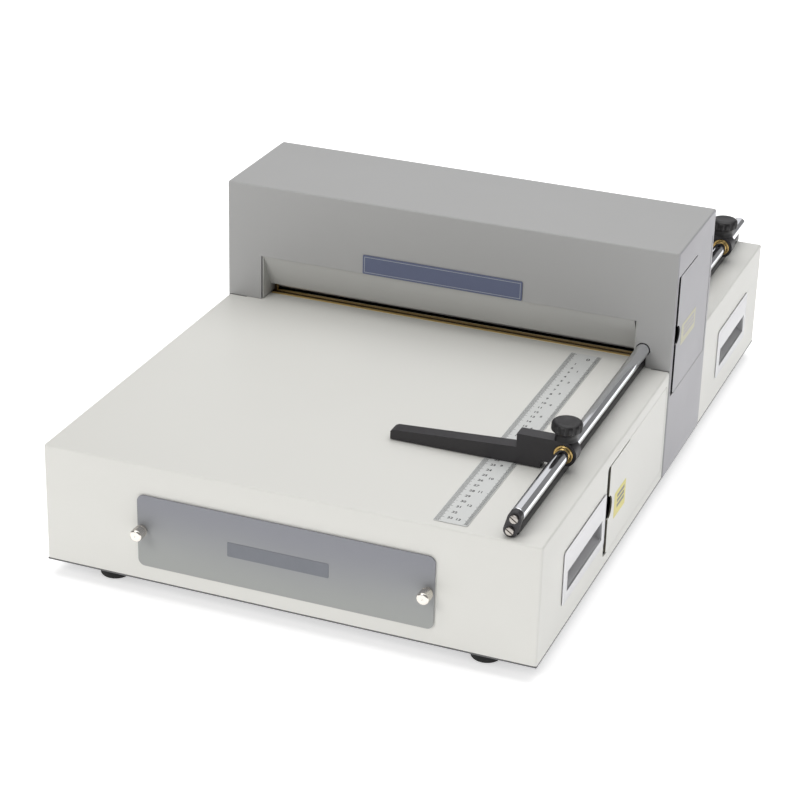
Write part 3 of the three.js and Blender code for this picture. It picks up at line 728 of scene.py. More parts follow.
    def row_mesh(self, name: str) -> bpy.types.Mesh:
        """Uses the form up as a mesh in the row frame, in metres.

        Args:
            name: the mesh's name.

        Returns:
            The mesh.
        """
        bmesh.ops.translate(self.bm, vec=ORIGIN, verts=self.bm.verts)
        bmesh.ops.scale(self.bm, vec=Vector((1, 1, 1)) * MM, verts=self.bm.verts)
        mesh = bpy.data.meshes.new(name)
        self.bm.to_mesh(mesh)
        self.bm.free()
        return mesh

    def _combine(self, other: "Form", operation: str) -> "Form":
        """Joins with or cuts by another form.

        Args:
            other: the other form, which is used up.
            operation: the boolean's operation.

        Returns:
            This form.
        """
        host, tool = self._loose_object(), other._loose_object()
        boolean = host.modifiers.new("boolean", "BOOLEAN")
        boolean.operation, boolean.solver, boolean.object = operation, "EXACT", tool
        graph = bpy.context.evaluated_depsgraph_get()
        result = bpy.data.meshes.new_from_object(host.evaluated_get(graph))
        self.bm.clear()
        self.bm.from_mesh(result)
        for loose in (host, tool):
            mesh = loose.data
            bpy.data.objects.remove(loose)
            bpy.data.meshes.remove(mesh)
        bpy.data.meshes.remove(result)
        other.bm.free()
        bmesh.ops.remove_doubles(self.bm, verts=self.bm.verts, dist=1e-4)
        return self

    def carve(self, *cutters: "Form") -> "Form":
        """Cuts other forms away.

        Args:
            cutters: the forms to take away, which are used up.

        Returns:
            This form.
        """
        for cutter in cutters:
            self._combine(cutter, "DIFFERENCE")
        return self

    def weld(self, *others: "Form") -> "Form":
        """Joins overlapping forms into one skin.

        Args:
            others: the forms to add, which are used up.

        Returns:
            This form.
        """
        for other in others:
            self._combine(other, "UNION")
        return self

    def place(self, name: str, looks: Finish | Sequence[Finish], body: str, edge: float = 0.0,
              replaces: Sequence[str] = (), edge_steps: int = 2, crease: float = 32.0) -> bpy.types.Object:
        """Makes the form a piece of the object.

        Args:
            name: the piece's name.
            looks: its finish, or one per material number.
            body: the CAD body it rides on.
            edge: width of the softening on its sharp edges, in millimetres; 0 leaves them sharp.
            replaces: the CAD nodes it stands for.
            edge_steps: segments of that softening.
            crease: the angle in degrees past which an edge is sharp.

        Returns:
            The piece.
        """
        looks = [looks] if isinstance(looks, Finish) else list(looks)
        for face in self.bm.faces:
            face.smooth = True
        limit = math.radians(crease)
        for edge_line in self.bm.edges:
            edge_line.smooth = bool(edge) or edge_line.calc_face_angle(0.0) < limit
        mesh = self.row_mesh(name)
        piece = show(name, mesh)
        for look in looks:
            mesh.materials.append(look.material())
        if edge:
            soften = piece.modifiers.new("soft_edges", "BEVEL")
            soften.width, soften.segments = edge * MM, edge_steps
            soften.limit_method, soften.angle_limit = "ANGLE", limit
            soften.use_clamp_overlap, soften.harden_normals = True, True
        else:
            piece.modifiers.new("even_shading", "WEIGHTED_NORMAL").keep_sharp = True
        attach(piece, body)
        if replaces:
            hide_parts(*replaces)
        log.info("%s on %s: %d faces", name, body, len(mesh.polygons))
        return piece


def dress(node: str, look: Finish) -> None:
    """Gives a CAD node that stays its finish.

    Args:
        node: the node's name.
        look: its finish.
    """
    item = frame["nodes"][node]
    item.data.materials.clear()
    item.data.materials.append(look.material())
    log.info("%s keeps its CAD shape", node)


def refine(node: str, look: Finish, edge: float = 0.4, crease: float = 32.0) -> bpy.types.Object:
    """Puts a copy of a CAD node with softened edges in its place.

    Args:
        node: the node's name.
        look: its finish.
        edge: width of the softening in millimetres.
        crease: the angle in degrees past which an edge is softened.

    Returns:
        The piece.
    """
    body = frame["nodes"][node]["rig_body"]
    return Form.of_node(node).place(f"{node}_finished", look, body, edge, (node,), crease=crease)


# ---- covers -------------------------------------------------------------------------------------


@dataclass
class Shell:
    """A folded sheet metal cover, open underneath, whose edges are bent at one radius."""

    half_width: float
    front: float
    back: float
    top: float
    round_front: bool
    round_back: bool
    # the covers stop short of z = 0, so the pan's dark edge shows below them as a painted shade line
    bottom: float = 1.4
    sheet: float = 1.5
    bend: float = 2.0

    def _block(self, half_width: float, front: float, back: float, bottom: float, top: float,
               radius: float) -> Form:
        """A block with the cover's bends.

        Args:
            half_width: half its width.
            front: its front.
            back: its back.
            bottom: its underside.
            top: its top.
            radius: radius of the bends.

        Returns:
            The block.
        """
        form = Form().block((-half_width, front, bottom), (half_width, back, top))
        ends = ([front] if self.round_front else []) + ([back] if self.round_back else [])

        def bent(middle: Vector, way: Vector) -> bool:
            """Whether an edge is one of the bends."""
            at_end = any(abs(middle.y - end) < 0.01 for end in ends)
            at_top = abs(middle.z - top) < 0.01
            return (at_top and abs(way.y) > 0.9) or (at_end and (abs(way.z) > 0.9 or at_top))

        return form.round_edges(form.edges_where(bent), radius, 6)

    def form(self) -> Form:
        """Builds the cover."""
        outer = self._block(self.half_width, self.front, self.back, self.bottom, self.top, self.bend)
        inner = self._block(
            self.half_width - self.sheet,
            self.front + self.sheet if self.round_front else self.front - 1.0,
            self.back - self.sheet if self.round_back else self.back + 1.0,
            -1.0, self.top - self.sheet, self.bend - self.sheet,
        )
        return outer.carve(inner)


@dataclass
class DoorOpening:
    """Where a flush side door sits, in the side's own y and z."""

    front: float
    back: float
    bottom: float
    top: float
    skin: float
    radius: float = 3.5
    hinge_radius: float = 1.0

    def plate(self, insets: tuple[float, float, float], start: float, end: float) -> Form:
        """A plate in the opening's outline.

        Args:
            insets: how much smaller it is at the front, at the hinge, and at the top and bottom.
            start: its inner face.
            end: its outer face.

        Returns:
            The plate.
        """
        near, far = self.front + insets[0], self.back - insets[1]
        low, high = self.bottom + insets[2], self.top - insets[2]
        points = [(near, low), (far, low), (far, high), (near, high)]
        free, held = (self.radius - insets[2], 8), (self.hinge_radius, 3)
        return Form().outline(points, start, end, Axis.X, {0: free, 1: held, 2: held, 3: free})

    def cutter(self) -> Form:
        """The opening as a cutter through the skin."""
        return self.plate((0.0, 0.0, 0.0), self.skin - 5.0, self.skin + 1.0)


BASE_DOOR = DoorOpening(172.5, 350.5, 11.0, 95.0, 216.0)
HEAD_DOOR = DoorOpening(359.0, 474.5, 81.0, 196.0, 217.0)


@dataclass
class BaseHousing:
    """The two cream covers of the base, their handle cups, the bottom sheet and the feet."""

    half_width: float = 216.0
    depth: float = 700.0
    height: float = 107.0
    seam: tuple[float, float] = (355.0, 481.0)
    tongue: tuple[float, float] = (374.2, 395.0)
    tongue_half: float = 198.0
    cup_starts: tuple[float, float] = (57.0, 537.0)
    cup_hole: tuple[float, float, float, float] = (9.4, 106.6, 32.4, 67.6)
    screw_x: float = 125.0
    screw_z: float = 49.0
    sheet: float = 1.5
    nut_radius: float = 5.0
    nut_bore: float = 2.8
    drawer_half: float = 118.0
    drawer_heights: tuple[float, float] = (19.5, 75.5)
    socket_sides: tuple[float, float] = (-186.0, -126.0)
    socket_heights: tuple[float, float] = (40.0, 64.0)

    def _tongue(self, start: float, end: float) -> Form:
        """The covers' table sheet from one y to another."""
        low = self.height - self.sheet
        return Form().block((-self.tongue_half, start, low), (self.tongue_half, end, self.height))

    def _cup_cutters(self, start: float) -> list[Form]:
        """Cutters for the two cups at one place.

        Args:
            start: the cups' front edge.

        Returns:
            The left and the right cutter.
        """
        cutters = []
        near, far, low, high = self.cup_hole
        for side in (-1, 1):
            left, right = sorted((side * (self.half_width - 5), side * (self.half_width + 1)))
            cutters.append(Form().block((left, start + near, low), (right, start + far, high), 2.0, Axis.X))
        return cutters

    def _front(self) -> None:
        """Builds the front cover with its openings and its two nuts."""
        form = Shell(self.half_width, 0.0, self.seam[0], self.height, True, False).form()
        form.weld(self._tongue(self.seam[0] - 1, self.tongue[0]))
        for side in (-1, 1):
            centre = (side * self.screw_x, 0, self.screw_z)
            form.weld(Form().rod(Axis.Y, self.nut_radius, 1.0, 9.0, centre, 24))
            form.carve(Form().rod(Axis.Y, self.nut_bore, -1.0, 10.0, centre, 24))
        half, (low, high) = self.drawer_half, self.drawer_heights
        form.carve(Form().block((-half, -1, low), (half, 5, high)), BASE_DOOR.cutter())
        form.carve(*self._cup_cutters(self.cup_starts[0]))
        form.place("base_front_housing", CREAM, "chassis", 0.25, ("base_front_cover",))

    def _rear(self) -> None:
        """Builds the rear cover with its openings."""
        form = Shell(self.half_width, self.seam[1], self.depth, self.height, False, True).form()
        form.weld(self._tongue(self.tongue[1], self.seam[1] + 1))
        (left, right), (low, high) = self.socket_sides, self.socket_heights
        form.carve(Form().block((left, self.depth - 5, low), (right, self.depth + 1, high)))
        form.carve(*self._cup_cutters(self.cup_starts[1]))
        form.place("base_rear_housing", CREAM, "chassis", 0.25, ("base_rear_cover",))

    def build(self) -> None:
        """Builds the base."""
        self._front()
        self._rear()
        # the pan is painted dark: painted shade along the bottom edges
        refine("base_pan", EDGE_SHADE, 0.15)
        for end in ("front", "rear"):
            for side in ("left", "right"):
                refine(f"handle_{end}_{side}", CUP_SILVER, 0.6, 20.0)
                refine(f"foot_{end}_{side}", RUBBER, 0.8)


@dataclass
class HeadHousing:
    """The head's cover in two greys, the slanted paper guards and the blank name band."""

    half_width: float = 217.0
    front: float = 355.6
    back: float = 480.4
    height: float = 220.0
    mouth_half: float = 183.0
    mouth_top: float = 150.5
    table: float = 107.0
    sheet: float = 1.5
    rod: tuple[float, float] = (190.0, 124.0)
    rod_hole: float = 6.7
    rail_gap_end: float = 193.2
    band: tuple[float, float, float, float] = (-80.0, 75.0, 151.0, 169.5)

    def _cover(self) -> None:
        """Builds the cover."""
        form = Shell(self.half_width, self.front, self.back, self.height, True, True).form()
        near, far = self.front - 1, self.back + 1
        inside = self.half_width - self.sheet
        form.carve(
            Form().block((-inside, near, -1), (inside, far, self.table + 0.3)),
            Form().block((-self.mouth_half, near, 50), (self.mouth_half, far, self.mouth_top)),
            Form().rod(Axis.Y, self.rod_hole, near, far, (self.rod[0], 0, self.rod[1]), 48),
            Form().block((self.mouth_half - 1, near, 100), (self.rail_gap_end, far, self.rod[1])),
            HEAD_DOOR.cutter(),
        )
        form.paint(1, lambda middle, normal: abs(normal.x) > 0.72)
        form.place("head_housing", (HEAD_GREY, SIDE_GREY), "chassis", 0.25, ("head_cover",))

    def _band(self) -> None:
        """Builds the band: a thin plate with a narrow printed frame, and nothing written on it."""
        left, right, bottom, top = self.band
        back = self.front - 0.3
        plate = Form().block((left, back - 0.75, bottom), (right, back, top), 1.2, Axis.Y)
        plate.place("head_name_band", BAND_BLUE, "chassis", 0.15, ("name_band",))
        line = Form().block((left + 1.6, back - 0.8, bottom + 1.6), (right - 1.6, back - 0.7, top - 1.6))
        line.carve(Form().block((left + 2.1, back - 1, bottom + 2.1), (right - 2.1, back - 0.6, top - 2.1)))
        line.place("head_name_band_border", BAND_LINE, "chassis")

    def build(self) -> None:
        """Builds the head's outside."""
        self._cover()
        self._band()
        # the guards take the lighter grey: painted light
        refine("front_guard", GUARD_LIT_GREY, 0.25)
        refine("rear_guard", GUARD_LIT_GREY, 0.25)


@dataclass
class SideDoor:
    """A flush door: sheet with a rim on three sides and a finger notch, its hinge rod and a plain label."""

    node: str
    rod_node: str
    opening: DoorOpening
    look: Finish
    notch_z: float
    notch_r: float
    label: tuple[float, float, float, float]
    label_looks: tuple[Finish, Finish]
    # finish of the front-facing edge faces: painted shade for the gap in front of the door
    trim_look: Finish
    recess: float = 0.0
    gap: float = 0.25
    front_gap: float = 8.0
    back_gap: float = 1.2
    rim: float = 8.0
    sheet: float = 1.5
    relief: tuple[float, float] = (55.0, 1.5)
    notch_depth: float = 10.0
    bar_rows: tuple[float, ...] = (0.36, 0.56, 0.76)
    bar_margins: tuple[float, float] = (8.0, 4.0)
    bar_half: float = 1.5

    def _label(self, skin: float) -> None:
        """Builds the label and its plain bars.

        Args:
            skin: the door's outer face, in x.
        """
        near, far, low, high = self.label
        ground, ink = self.label_looks
        sticker = Form().block((skin - 0.05, near, low), (skin + 0.12, far, high), 1.5, Axis.X)
        sticker.place(f"{self.node}_label", ground, self.node)
        bars, half = Form(), self.bar_half
        start, end = near + self.bar_margins[0], far - self.bar_margins[1]
        for row in self.bar_rows:
            z = low + (high - low) * row
            bars.block((skin + 0.05, start, z - half), (skin + 0.15, end, z + half))
        bars.place(f"{self.node}_label_bars", ink, self.node)

    def build(self) -> None:
        """Builds the door."""
        skin = self.opening.skin - self.recess
        inner = self.opening.skin - self.rim
        edge = self.opening.front + self.front_gap
        top = self.opening.top - self.gap
        length, step = self.relief
        back = self.opening.back - self.back_gap - self.sheet
        form = self.opening.plate((self.front_gap, self.back_gap, self.gap), inner, skin)
        hollow_low = (inner - 1, edge - 1, self.opening.bottom + self.gap + self.sheet)
        hollow_high = (skin - self.sheet, back, top - self.sheet - step)
        form.carve(
            Form().block(hollow_low, hollow_high),
            Form().block((inner - 1, edge - 1, top - step), (skin + 1, edge + length, top + 1)),
        )
        notch = Form().rod(Axis.X, 1.0, inner - 1, skin + 1, (0, edge, self.notch_z), 64)
        notch.stretch((1, self.notch_depth, self.notch_r), (0, edge, self.notch_z))
        form.carve(notch)
        # faces toward the front along the free edge and the notch take painted shade, for the dark gap in
        # front of the door
        shaded_edge_end = edge + self.notch_depth + 1
        form.paint(1, lambda middle, normal: normal.y < -0.3 and middle.y < shaded_edge_end)
        form.place(f"{self.node}_panel", (self.look, self.trim_look), self.node, 0.3, (self.node,))
        refine(self.rod_node, STEEL, 0.2)
        self._label(skin)


# ---- tool box and table -------------------------------------------------------------------------


@dataclass
class ToolBox:
    """The tool tray behind its grey panel, held by two knurled thumb screws."""

    half_width: float = 130.0
    bottom: float = 15.0
    top: float = 80.0
    front: float = -1.8
    radius: float = 6.0
    plate: tuple[float, float, float, float] = (-49.0, 40.0, 41.0, 54.0)
    screw_x: float = 125.0
    screw_z: float = 49.0
    screw_hole: float = 2.9
    head_radius: float = 5.4
    reach: float = 16.0
    teeth: int = 36
    tooth_radius: float = 0.32

    def _panel(self) -> None:
        """Builds the panel and the blank plate on it."""
        lo, hi = (-self.half_width, self.front, self.bottom), (self.half_width, -0.3, self.top)
        form = Form().block(lo, hi, self.radius, Axis.Y, 10)
        for side in (-1, 1):
            centre = (side * self.screw_x, 0, self.screw_z)
            form.carve(Form().rod(Axis.Y, self.screw_hole, -5, 5, centre, 32))
        form.place("tool_panel_front", PANEL_GREY, "tool_drawer", 0.4, ("tool_panel",), 3)
        left, right, low, high = self.plate
        label = Form().block((left, self.front - 0.25, low), (right, self.front + 0.1, high), 1.0, Axis.Y)
        label.place("tool_panel_plate", LABEL_SLATE, "tool_drawer", 0.1)

    def _screw(self, side: int) -> None:
        """Builds one thumb screw.

        Args:
            side: -1 on the left, 1 on the right.
        """
        centre = Vector((side * self.screw_x, 0, self.screw_z))
        wide, face, end = self.head_radius, -2.1, -self.reach
        profile = [
            (0, 7), (2.0, 7), (2.5, 6.5), (2.5, face), (4.0, face), (4.0, face - 3), (wide - 0.7, face - 3),
            (wide, face - 3.7), (wide, end + 1.4), (wide - 0.4, end + 0.7), (wide - 1.1, end + 0.2),
            (wide - 1.9, end), (0.9, end), (0.6, end + 0.25), (0, end + 0.3),
        ]
        form = Form().turned(Axis.Y, centre, profile, 72)
        teeth = Form()
        for number in range(self.teeth):
            angle = math.tau * number / self.teeth
            at = centre + Vector((math.cos(angle), 0, math.sin(angle))) * (wide + 0.12)
            teeth.rod(Axis.Y, self.tooth_radius, end + 1.6, face - 4.0, at, 6)
        form.carve(teeth)
        name = "thumb_screw_left" if side < 0 else "thumb_screw_right"
        form.place(f"{name}_knurled", NICKEL, name, 0.0, (name,))

    def build(self) -> None:
        """Builds the tool box."""
        self._panel()
        refine("tool_tray", ZINC, 0.25)
        for side in (-1, 1):
            self._screw(side)


@dataclass
class Ruler:
    """The scale on the front table: millimetres at its left, inches at its right, zero at the crease."""

    left: float = 123.0
    right: float = 151.5
    front: float = 8.0
    back: float = 359.5
    under: float = 107.25
    thickness: float = 0.4
    zero: float = 346.0
    tick: float = 0.34
    weight: float = 0.13
    inch: float = 25.4
    centimetre_x: float = 134.3
    inch_x: float = 141.0
    centimetres: int = 33
    inches: int = 13
    figure_height: float = 3.2
    zero_height: float = 5.0
    cap_share: float = 0.7
    margin: float = 0.4

    def _number(self, text: str, x: float, y: float, height: float) -> Form:
        """One printed number.

        Args:
            text: the number.
            x: its middle across the ruler.
            y: its middle along the ruler.
            height: the figures' height.

        Returns:
            The number as a thin solid.
        """
        curve = bpy.data.curves.new("figures", "FONT")
        curve.body, curve.size, curve.resolution_u = text, height / self.cap_share, 2
        curve.align_x, curve.align_y, curve.extrude, curve.offset = "CENTER", "CENTER", 0.03, self.weight
        figures = show("figures", curve)
        graph = bpy.context.evaluated_depsgraph_get()
        flat = bpy.data.meshes.new_from_object(figures.evaluated_get(graph))
        form = Form()
        form.bm.from_mesh(flat)
        bmesh.ops.translate(form.bm, vec=Vector((x, y, self.under + self.thickness)), verts=form.bm.verts)
        bpy.data.objects.remove(figures)
        bpy.data.curves.remove(curve)
        bpy.data.meshes.remove(flat)
        return form

    def _ticks(self, ink: Form, pitch: float, lengths: Callable[[int], float], from_left: bool) -> None:
        """Adds one edge's ticks.

        Args:
            ink: the form they are added to.
            pitch: the distance between two ticks.
            lengths: a tick's length by its number.
            from_left: whether they start at the left edge.
        """
        surface = self.under + self.thickness
        first = -int((self.back - 1 - self.zero) / pitch)
        for number in range(first, int((self.zero - self.front - 1) / pitch) + 1):
            y = self.zero - number * pitch
            start = self.left + self.margin if from_left else self.right - self.margin - lengths(number)
            lo = (start, y - self.tick / 2, surface - 0.05)
            ink.block(lo, (start + lengths(number), y + self.tick / 2, surface + 0.03))

    def build(self) -> None:
        """Builds the ruler."""
        surface = self.under + self.thickness
        lo, hi = (self.left, self.front, self.under), (self.right, self.back, surface)
        plate = Form().block(lo, hi, 1.0, Axis.Z)
        plate.place("table_ruler", RULER_PLATE, "chassis", 0.08, ("front_ruler",))
        ink = Form()
        self._ticks(ink, 1.0, lambda n: 4.2 if n % 5 else 5.2 if n % 10 else 6.0, True)
        self._ticks(ink, self.inch / 32, lambda n: 3.2 if n % 8 else 4.0 if n % 32 else 4.6, False)
        ink.place("table_ruler_ticks", RULER_INK, "chassis")
        figures = Form()
        rows = ((self.centimetres, self.centimetre_x, 10.0), (self.inches, self.inch_x, self.inch))
        for last, x, pitch in rows:
            for number in range(1, last + 1):
                part = self._number(str(number), x, self.zero - pitch * number, self.figure_height)
                figures.absorb(part.bm)
        figures.absorb(self._number("0", self.inch_x + 1, self.zero + 3.0, self.zero_height).bm)
        figures.place("table_ruler_figures", RULER_INK, "chassis")


# ---- guide rod and paper stops ------------------------------------------------------------------


@dataclass
class GuideRail:
    """The chrome guide rod on its black rail, with the end plate and its two slotted screws."""

    rod: tuple[float, float] = (190.0, 124.0)
    lower: tuple[float, float] = (187.0, 113.2)
    radius: float = 6.0
    front: float = 12.0
    back: float = 706.0
    plate_radius: float = 5.8
    head_radius: float = 3.5
    slot_turn: float = 35.0
    slot_half: float = 0.55

    def _plate(self) -> None:
        """Builds the end plate, round at both ends."""
        (upper_x, upper_z), (lower_x, lower_z) = self.rod, self.lower
        start, end, wide = self.front - 6.3, self.front - 0.3, self.plate_radius
        across = Vector((upper_x - lower_x, upper_z - lower_z))
        side = Vector((-across.y, across.x)).normalized() * wide
        ends = ((self.rod, (1, -1)), (self.lower, (-1, 1)))
        corners = [(x + sign * side.x, z + sign * side.y) for (x, z), signs in ends for sign in signs]
        form = Form().outline(corners, start, end, Axis.Y)
        form.weld(
            Form().rod(Axis.Y, wide, start, end, (upper_x, 0, upper_z), 48),
            Form().rod(Axis.Y, wide, start, end, (lower_x, 0, lower_z), 48),
        )
        form.place("rod_end_bracket", BLACK, "chassis", 0.5, ("rod_end_plate",), 3, 40.0)

    def _screw(self, name: str, centre: tuple[float, float]) -> None:
        """Builds one cheese-head screw.

        Args:
            name: the screw's CAD node.
            centre: its x and z.
        """
        x, z = centre
        face = self.front - 6.6
        wide = self.head_radius
        profile = [
            (0, face), (wide, face), (wide, face - 1.6), (wide - 0.2, face - 2.0), (wide - 0.7, face - 2.2),
            (0, face - 2.2),
        ]
        form = Form().turned(Axis.Y, (x, 0, z), profile, 48)
        half = self.slot_half
        slot = Form().block((x - 6, face - 3, z - half), (x + 6, face - 1.2, z + half))
        form.carve(slot.turn(self.slot_turn, Axis.Y, (x, 0, z)))
        form.place(f"{name}_slotted", DULL_NICKEL, "chassis", 0.12, (name,))

    def build(self) -> None:
        """Builds the rail."""
        wide, near, far = self.radius, self.front, self.back
        profile = [
            (0, near), (wide - 1.0, near), (wide - 0.3, near + 0.3), (wide, near + 1.0), (wide, far - 1.0),
            (wide - 0.3, far - 0.3), (wide - 1.0, far), (0, far),
        ]
        rod = Form().turned(Axis.Y, (self.rod[0], 0, self.rod[1]), profile, 96)
        rod.place("guide_rod_chromed", CHROME, "chassis", 0.0, ("guide_rod",))
        refine("rod_rail", BLACK, 0.4)
        self._plate()
        self._screw("rod_end_screw_upper", self.rod)
        self._screw("rod_end_screw_lower", self.lower)


@dataclass
class PaperStop:
    """A paper stop: its carriage on the rod, the brass bush, the tapering arm and the clamp knob."""

    place: str
    front: float
    depth: float = 13.0
    rod: tuple[float, float] = (190.0, 124.0)
    nose: float = 11.0
    top: float = 135.0
    bottom: float = 108.0
    left: float = 150.0
    foot: float = 171.0
    tip: float = 40.0
    bush_hole: float = 8.3
    stem_hole: float = 3.3
    knob_radius: float = 13.0
    flutes: int = 12
    flute_radius: float = 2.3

    def _stem_cutter(self) -> Form:
        """The knob's stem hole as a cutter."""
        centre = (self.rod[0], self.front + self.depth / 2, 0)
        return Form().rod(Axis.Z, self.stem_hole, self.rod[1], self.top + 1, centre, 32)

    def _carriage(self) -> None:
        """Builds the casting."""
        x, z = self.rod
        near, far = self.front, self.front + self.depth
        waist = z - 9.7
        box = [(self.left, waist), (x, waist), (x, self.top), (self.left, self.top)]
        form = Form().outline(box, near, far)
        nose = Form().rod(Axis.Y, self.nose, near, far, (x, 0, z), 64)
        nose.carve(Form().block((x - 20, near - 1, z - 20), (x + 20, far + 1, waist)))
        arm = [
            (self.tip, self.bottom), (self.foot, self.bottom), (self.foot, waist + 1), (self.left, waist + 1),
            (self.left, self.bottom + 15), (self.tip + 3, self.bottom + 8.5), (self.tip, self.bottom + 7),
        ]
        form.weld(nose, Form().outline(arm, near, far))
        form.carve(
            Form().rod(Axis.Y, self.bush_hole, near - 1, far + 1, (x, 0, z), 64), self._stem_cutter()
        )
        name = f"{self.place}_stop_carriage"
        form.place(f"{name}_cast", BLACK, f"{self.place}_stop", 0.7, (name,), 3, 38.0)

    def _bush(self) -> None:
        """Builds the brass bush."""
        x, z = self.rod
        near, far = self.front - 0.8, self.front + self.depth + 0.8
        ring = [
            (6.25, near + 0.4), (6.65, near), (7.7, near), (8.0, near + 0.3), (8.0, far - 0.3), (7.7, far),
            (6.65, far), (6.25, far - 0.4),
        ]
        form = Form().turned(Axis.Y, (x, 0, z), ring, 64, closed=True)
        form.carve(self._stem_cutter())
        name = f"{self.place}_stop_bush"
        form.place(f"{name}_turned", BRASS, f"{self.place}_stop", 0.0, (name,))

    def _knob(self) -> None:
        """Builds the mushroom-shaped knob."""
        centre = Vector((self.rod[0], self.front + self.depth / 2, self.top + 0.3))
        under = self.rod[1] + 6.3 - centre.z
        wide = self.knob_radius
        profile = [
            (0, under), (2.8, under), (2.8, 0), (9.2, 0), (9.5, 0.3), (9.5, 1.0), (9.1, 2.2), (9.0, 3.4),
            (9.25, 4.8), (9.9, 6.2), (11.2, 7.5), (12.3, 8.3), (12.8, 9.1), (wide, 10.0), (wide, 12.6),
            (12.75, 14.0), (12.1, 15.2), (11.1, 16.0), (9.8, 16.4), (7.5, 16.55), (6.8, 16.3), (0, 16.1),
        ]
        form = Form().turned(Axis.Z, centre, profile, 96)
        flutes = Form()
        for number in range(self.flutes):
            angle = math.tau * (number + 0.5) / self.flutes
            at = centre + Vector((math.cos(angle), math.sin(angle), 0)) * (wide + 1.1)
            flutes.rod(Axis.Z, self.flute_radius, centre.z + 5.5, centre.z + 18, at, 20)
        form.carve(flutes)
        name = f"{self.place}_stop_knob"
        form.place(f"{name}_fluted", KNOB_BLACK, name, 0.45, (name,), 3, 30.0)

    def build(self) -> None:
        """Builds the stop."""
        self._carriage()
        self._bush()
        self._knob()


# ---- inside -------------------------------------------------------------------------------------


@dataclass
class Mechanism:
    """The press unit, its drive and the electrics: machined from their CAD shapes, with broken edges."""

    looks: dict[Finish, tuple[str, ...]] = field(default_factory=lambda: {
        BRASS: ("shaft_bearing_left", "shaft_bearing_right", "motor_pinion"),
        STEEL: ("side_frame_left", "side_frame_right", "upper_bridge", "press_beam", "crease_blade",
                "die_bed", "cam_left", "cam_right", "drive_gear"),
        ZINC: ("blade_clamp", "motor_bracket"),
        MOTOR_PAINT: ("gear_motor", "control_box"),
        BLACK: ("power_inlet",),
        RUBBER: ("power_switch",),
    })
    shaft_y: float = 382.0
    shaft_z: float = 190.0
    shaft_end: float = 207.0
    groove: tuple[float, float] = (378.2, 381.8)
    post_inner: float = -178.4  # leaves the press beam room beside the strip's end post
    table: float = 107.0

    def _strip(self, node: str, wall: float) -> None:
        """Builds one brass strip of the creasing groove, with painted shade on the wall that faces the
        groove.

        Args:
            node: the strip's CAD node.
            wall: where that wall is, in y.
        """
        form = Form.of_node(node)
        lo, hi = (self.post_inner, wall - 2, self.table + 0.05), (0, wall + 8, self.table + 15)
        form.carve(Form().block(lo, hi))
        # the wall that faces the groove takes the painted shade
        form.paint(1, lambda middle, normal: abs(normal.y) > 0.9 and abs(middle.y - wall) < 0.1)
        form.place(f"{node}_machined", (STRIP_BRASS, GROOVE_WALL_SHADE), "chassis", 0.2, (node,))

    def build(self) -> None:
        """Builds the inside."""
        self._strip("die_strip_front", self.groove[0])
        self._strip("die_strip_rear", self.groove[1])
        for look, nodes in self.looks.items():
            for node in nodes:
                refine(node, look, 0.2)
        end = self.shaft_end
        profile = [(0, -end), (4.3, -end), (5.0, 0.7 - end), (5.0, end - 0.7), (4.3, end), (0, end)]
        shaft = Form().turned(Axis.X, (0, self.shaft_y, self.shaft_z), profile, 48)
        shaft.place("drive_shaft_turned", STEEL, "drive_shaft", 0.0, ("drive_shaft",))
        for side in ("left", "right"):
            refine(f"guide_post_{side}", CHROME, 0.2)
            dress(f"return_spring_{side}", SPRING_STEEL)


# ---- studio -------------------------------------------------------------------------------------


@dataclass(frozen=True)
class Lamp:
    """A square soft light: its place and side in metres, its power in watts."""

    name: str
    at: Point
    side: float
    power: float
    colour: Colour
    diffuse: bool = True  # False leaves it to reflections alone

    def hang(self, aim: Point) -> None:
        """Hangs the light.

        Args:
            aim: the point it faces.
        """
        lamp = bpy.data.lights.new(self.name, "AREA")
        lamp.shape, lamp.size, lamp.energy, lamp.color = "SQUARE", self.side, self.power, self.colour
        item = show(self.name, lamp)
        item.location = self.at
        item.rotation_euler = (Vector(aim) - Vector(self.at)).to_track_quat("-Z", "Y").to_euler()
        item.visible_diffuse = self.diffuse


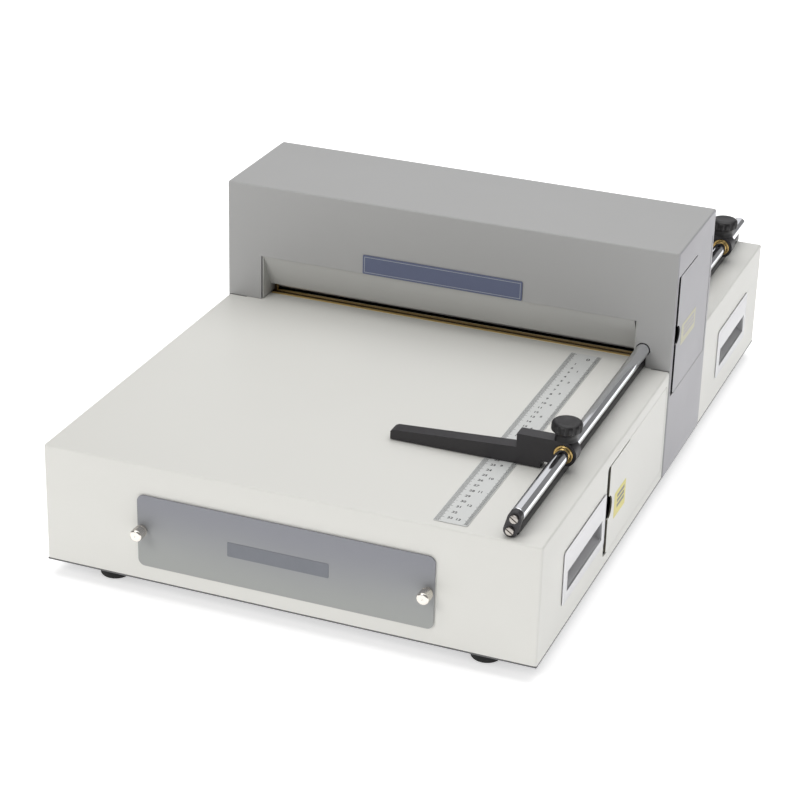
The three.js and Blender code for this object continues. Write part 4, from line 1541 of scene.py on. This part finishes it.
@dataclass
class Studio:
    """A pale floor, soft lights and the camera."""

    lens: float = 105.25
    eye: Point = (0.6696, -1.8458, 0.9768)
    right: Point = (0.92953, 0.36789, 0.02517)
    up: Point = (-0.17752, 0.38661, 0.905)
    aim: Point = (0.0, 0.0, 0.1)
    sky: float = 0.24
    floor_half: float = 6000.0
    floor_glow: float = 0.5
    lamps: tuple[Lamp, ...] = (
        Lamp("overhead", (0.2, 0.4, 3.0), 3.4, 70.0, (1.0, 1.0, 1.0)),
        Lamp("key", (-1.5, -3.3, 2.7), 1.8, 52.0, (1.0, 0.99, 0.97)),
        Lamp("fill", (2.7, 0.8, 2.0), 2.8, 4.0, (0.97, 0.98, 1.0)),
        Lamp("backdrop", (-0.8, 3.8, 2.1), 3.6, 23.0, (0.98, 0.98, 1.0), False),
    )

    def _floor(self) -> None:
        """Lays the floor."""
        graph = Graph("studio_floor")
        tone = graph.blend(graph.noise(3.0, 2.0), (0.93, 0.93, 0.93), (0.96, 0.96, 0.96))
        graph.surface(
            base_color=tone, roughness=0.9, specular_ior_level=0.0, emission_color=(1.0, 1.0, 1.0),
            emission_strength=self.floor_glow,
        )
        half = self.floor_half
        mesh = Form().block((-half, -half, -25), (half, half, -15)).row_mesh("floor")
        mesh.materials.append(graph.material)
        show("floor", mesh)

    def _camera(self) -> None:
        """Sets up the camera."""
        lens = bpy.data.cameras.new("camera")
        lens.lens, lens.sensor_width, lens.clip_start, lens.clip_end = self.lens, 36.0, 0.01, 50.0
        camera = show("camera", lens)
        right, up = Vector(self.right).normalized(), Vector(self.up).normalized()
        turn = Matrix((right, up, right.cross(up))).transposed().to_4x4()
        camera.matrix_world = Matrix.Translation(Vector(self.eye)) @ turn
        bpy.context.scene.camera = camera

    def build(self) -> None:
        """Sets the studio up."""
        self._floor()
        world = bpy.data.worlds.new("studio")
        world.use_nodes = True
        light = world.node_tree.nodes["Background"].inputs
        light[0].default_value, light[1].default_value = (1.0, 1.0, 1.0, 1.0), self.sky
        bpy.context.scene.world = world
        for lamp in self.lamps:
            lamp.hang(self.aim)
        bpy.context.scene.view_settings.view_transform = "Standard"
        self._camera()


def main() -> None:
    """Builds the machine in its frame."""
    logging.basicConfig(level=logging.INFO, format="%(message)s")
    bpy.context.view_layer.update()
    BaseHousing().build()
    HeadHousing().build()
    SideDoor(
        "base_side_door", "base_door_rod", BASE_DOOR, CREAM, 54.5, 11.0, (198.0, 231.0, 36.0, 60.0),
        (LABEL_YELLOW, LABEL_GREY), BROWN_GAP_SHADE,
    ).build()
    SideDoor(
        "head_side_door", "head_door_rod", HEAD_DOOR, SIDE_GREY, 138.0, 9.0, (383.0, 431.0, 122.0, 142.0),
        (LABEL_PALE, LABEL_LILAC), BLACK_GAP_SHADE, 0.15,
    ).build()
    ToolBox().build()
    Ruler().build()
    GuideRail().build()
    PaperStop("front", 126.0).build()
    PaperStop("rear", 631.0).build()
    Mechanism().build()
    Studio().build()


if __name__ == "__main__":
    main()
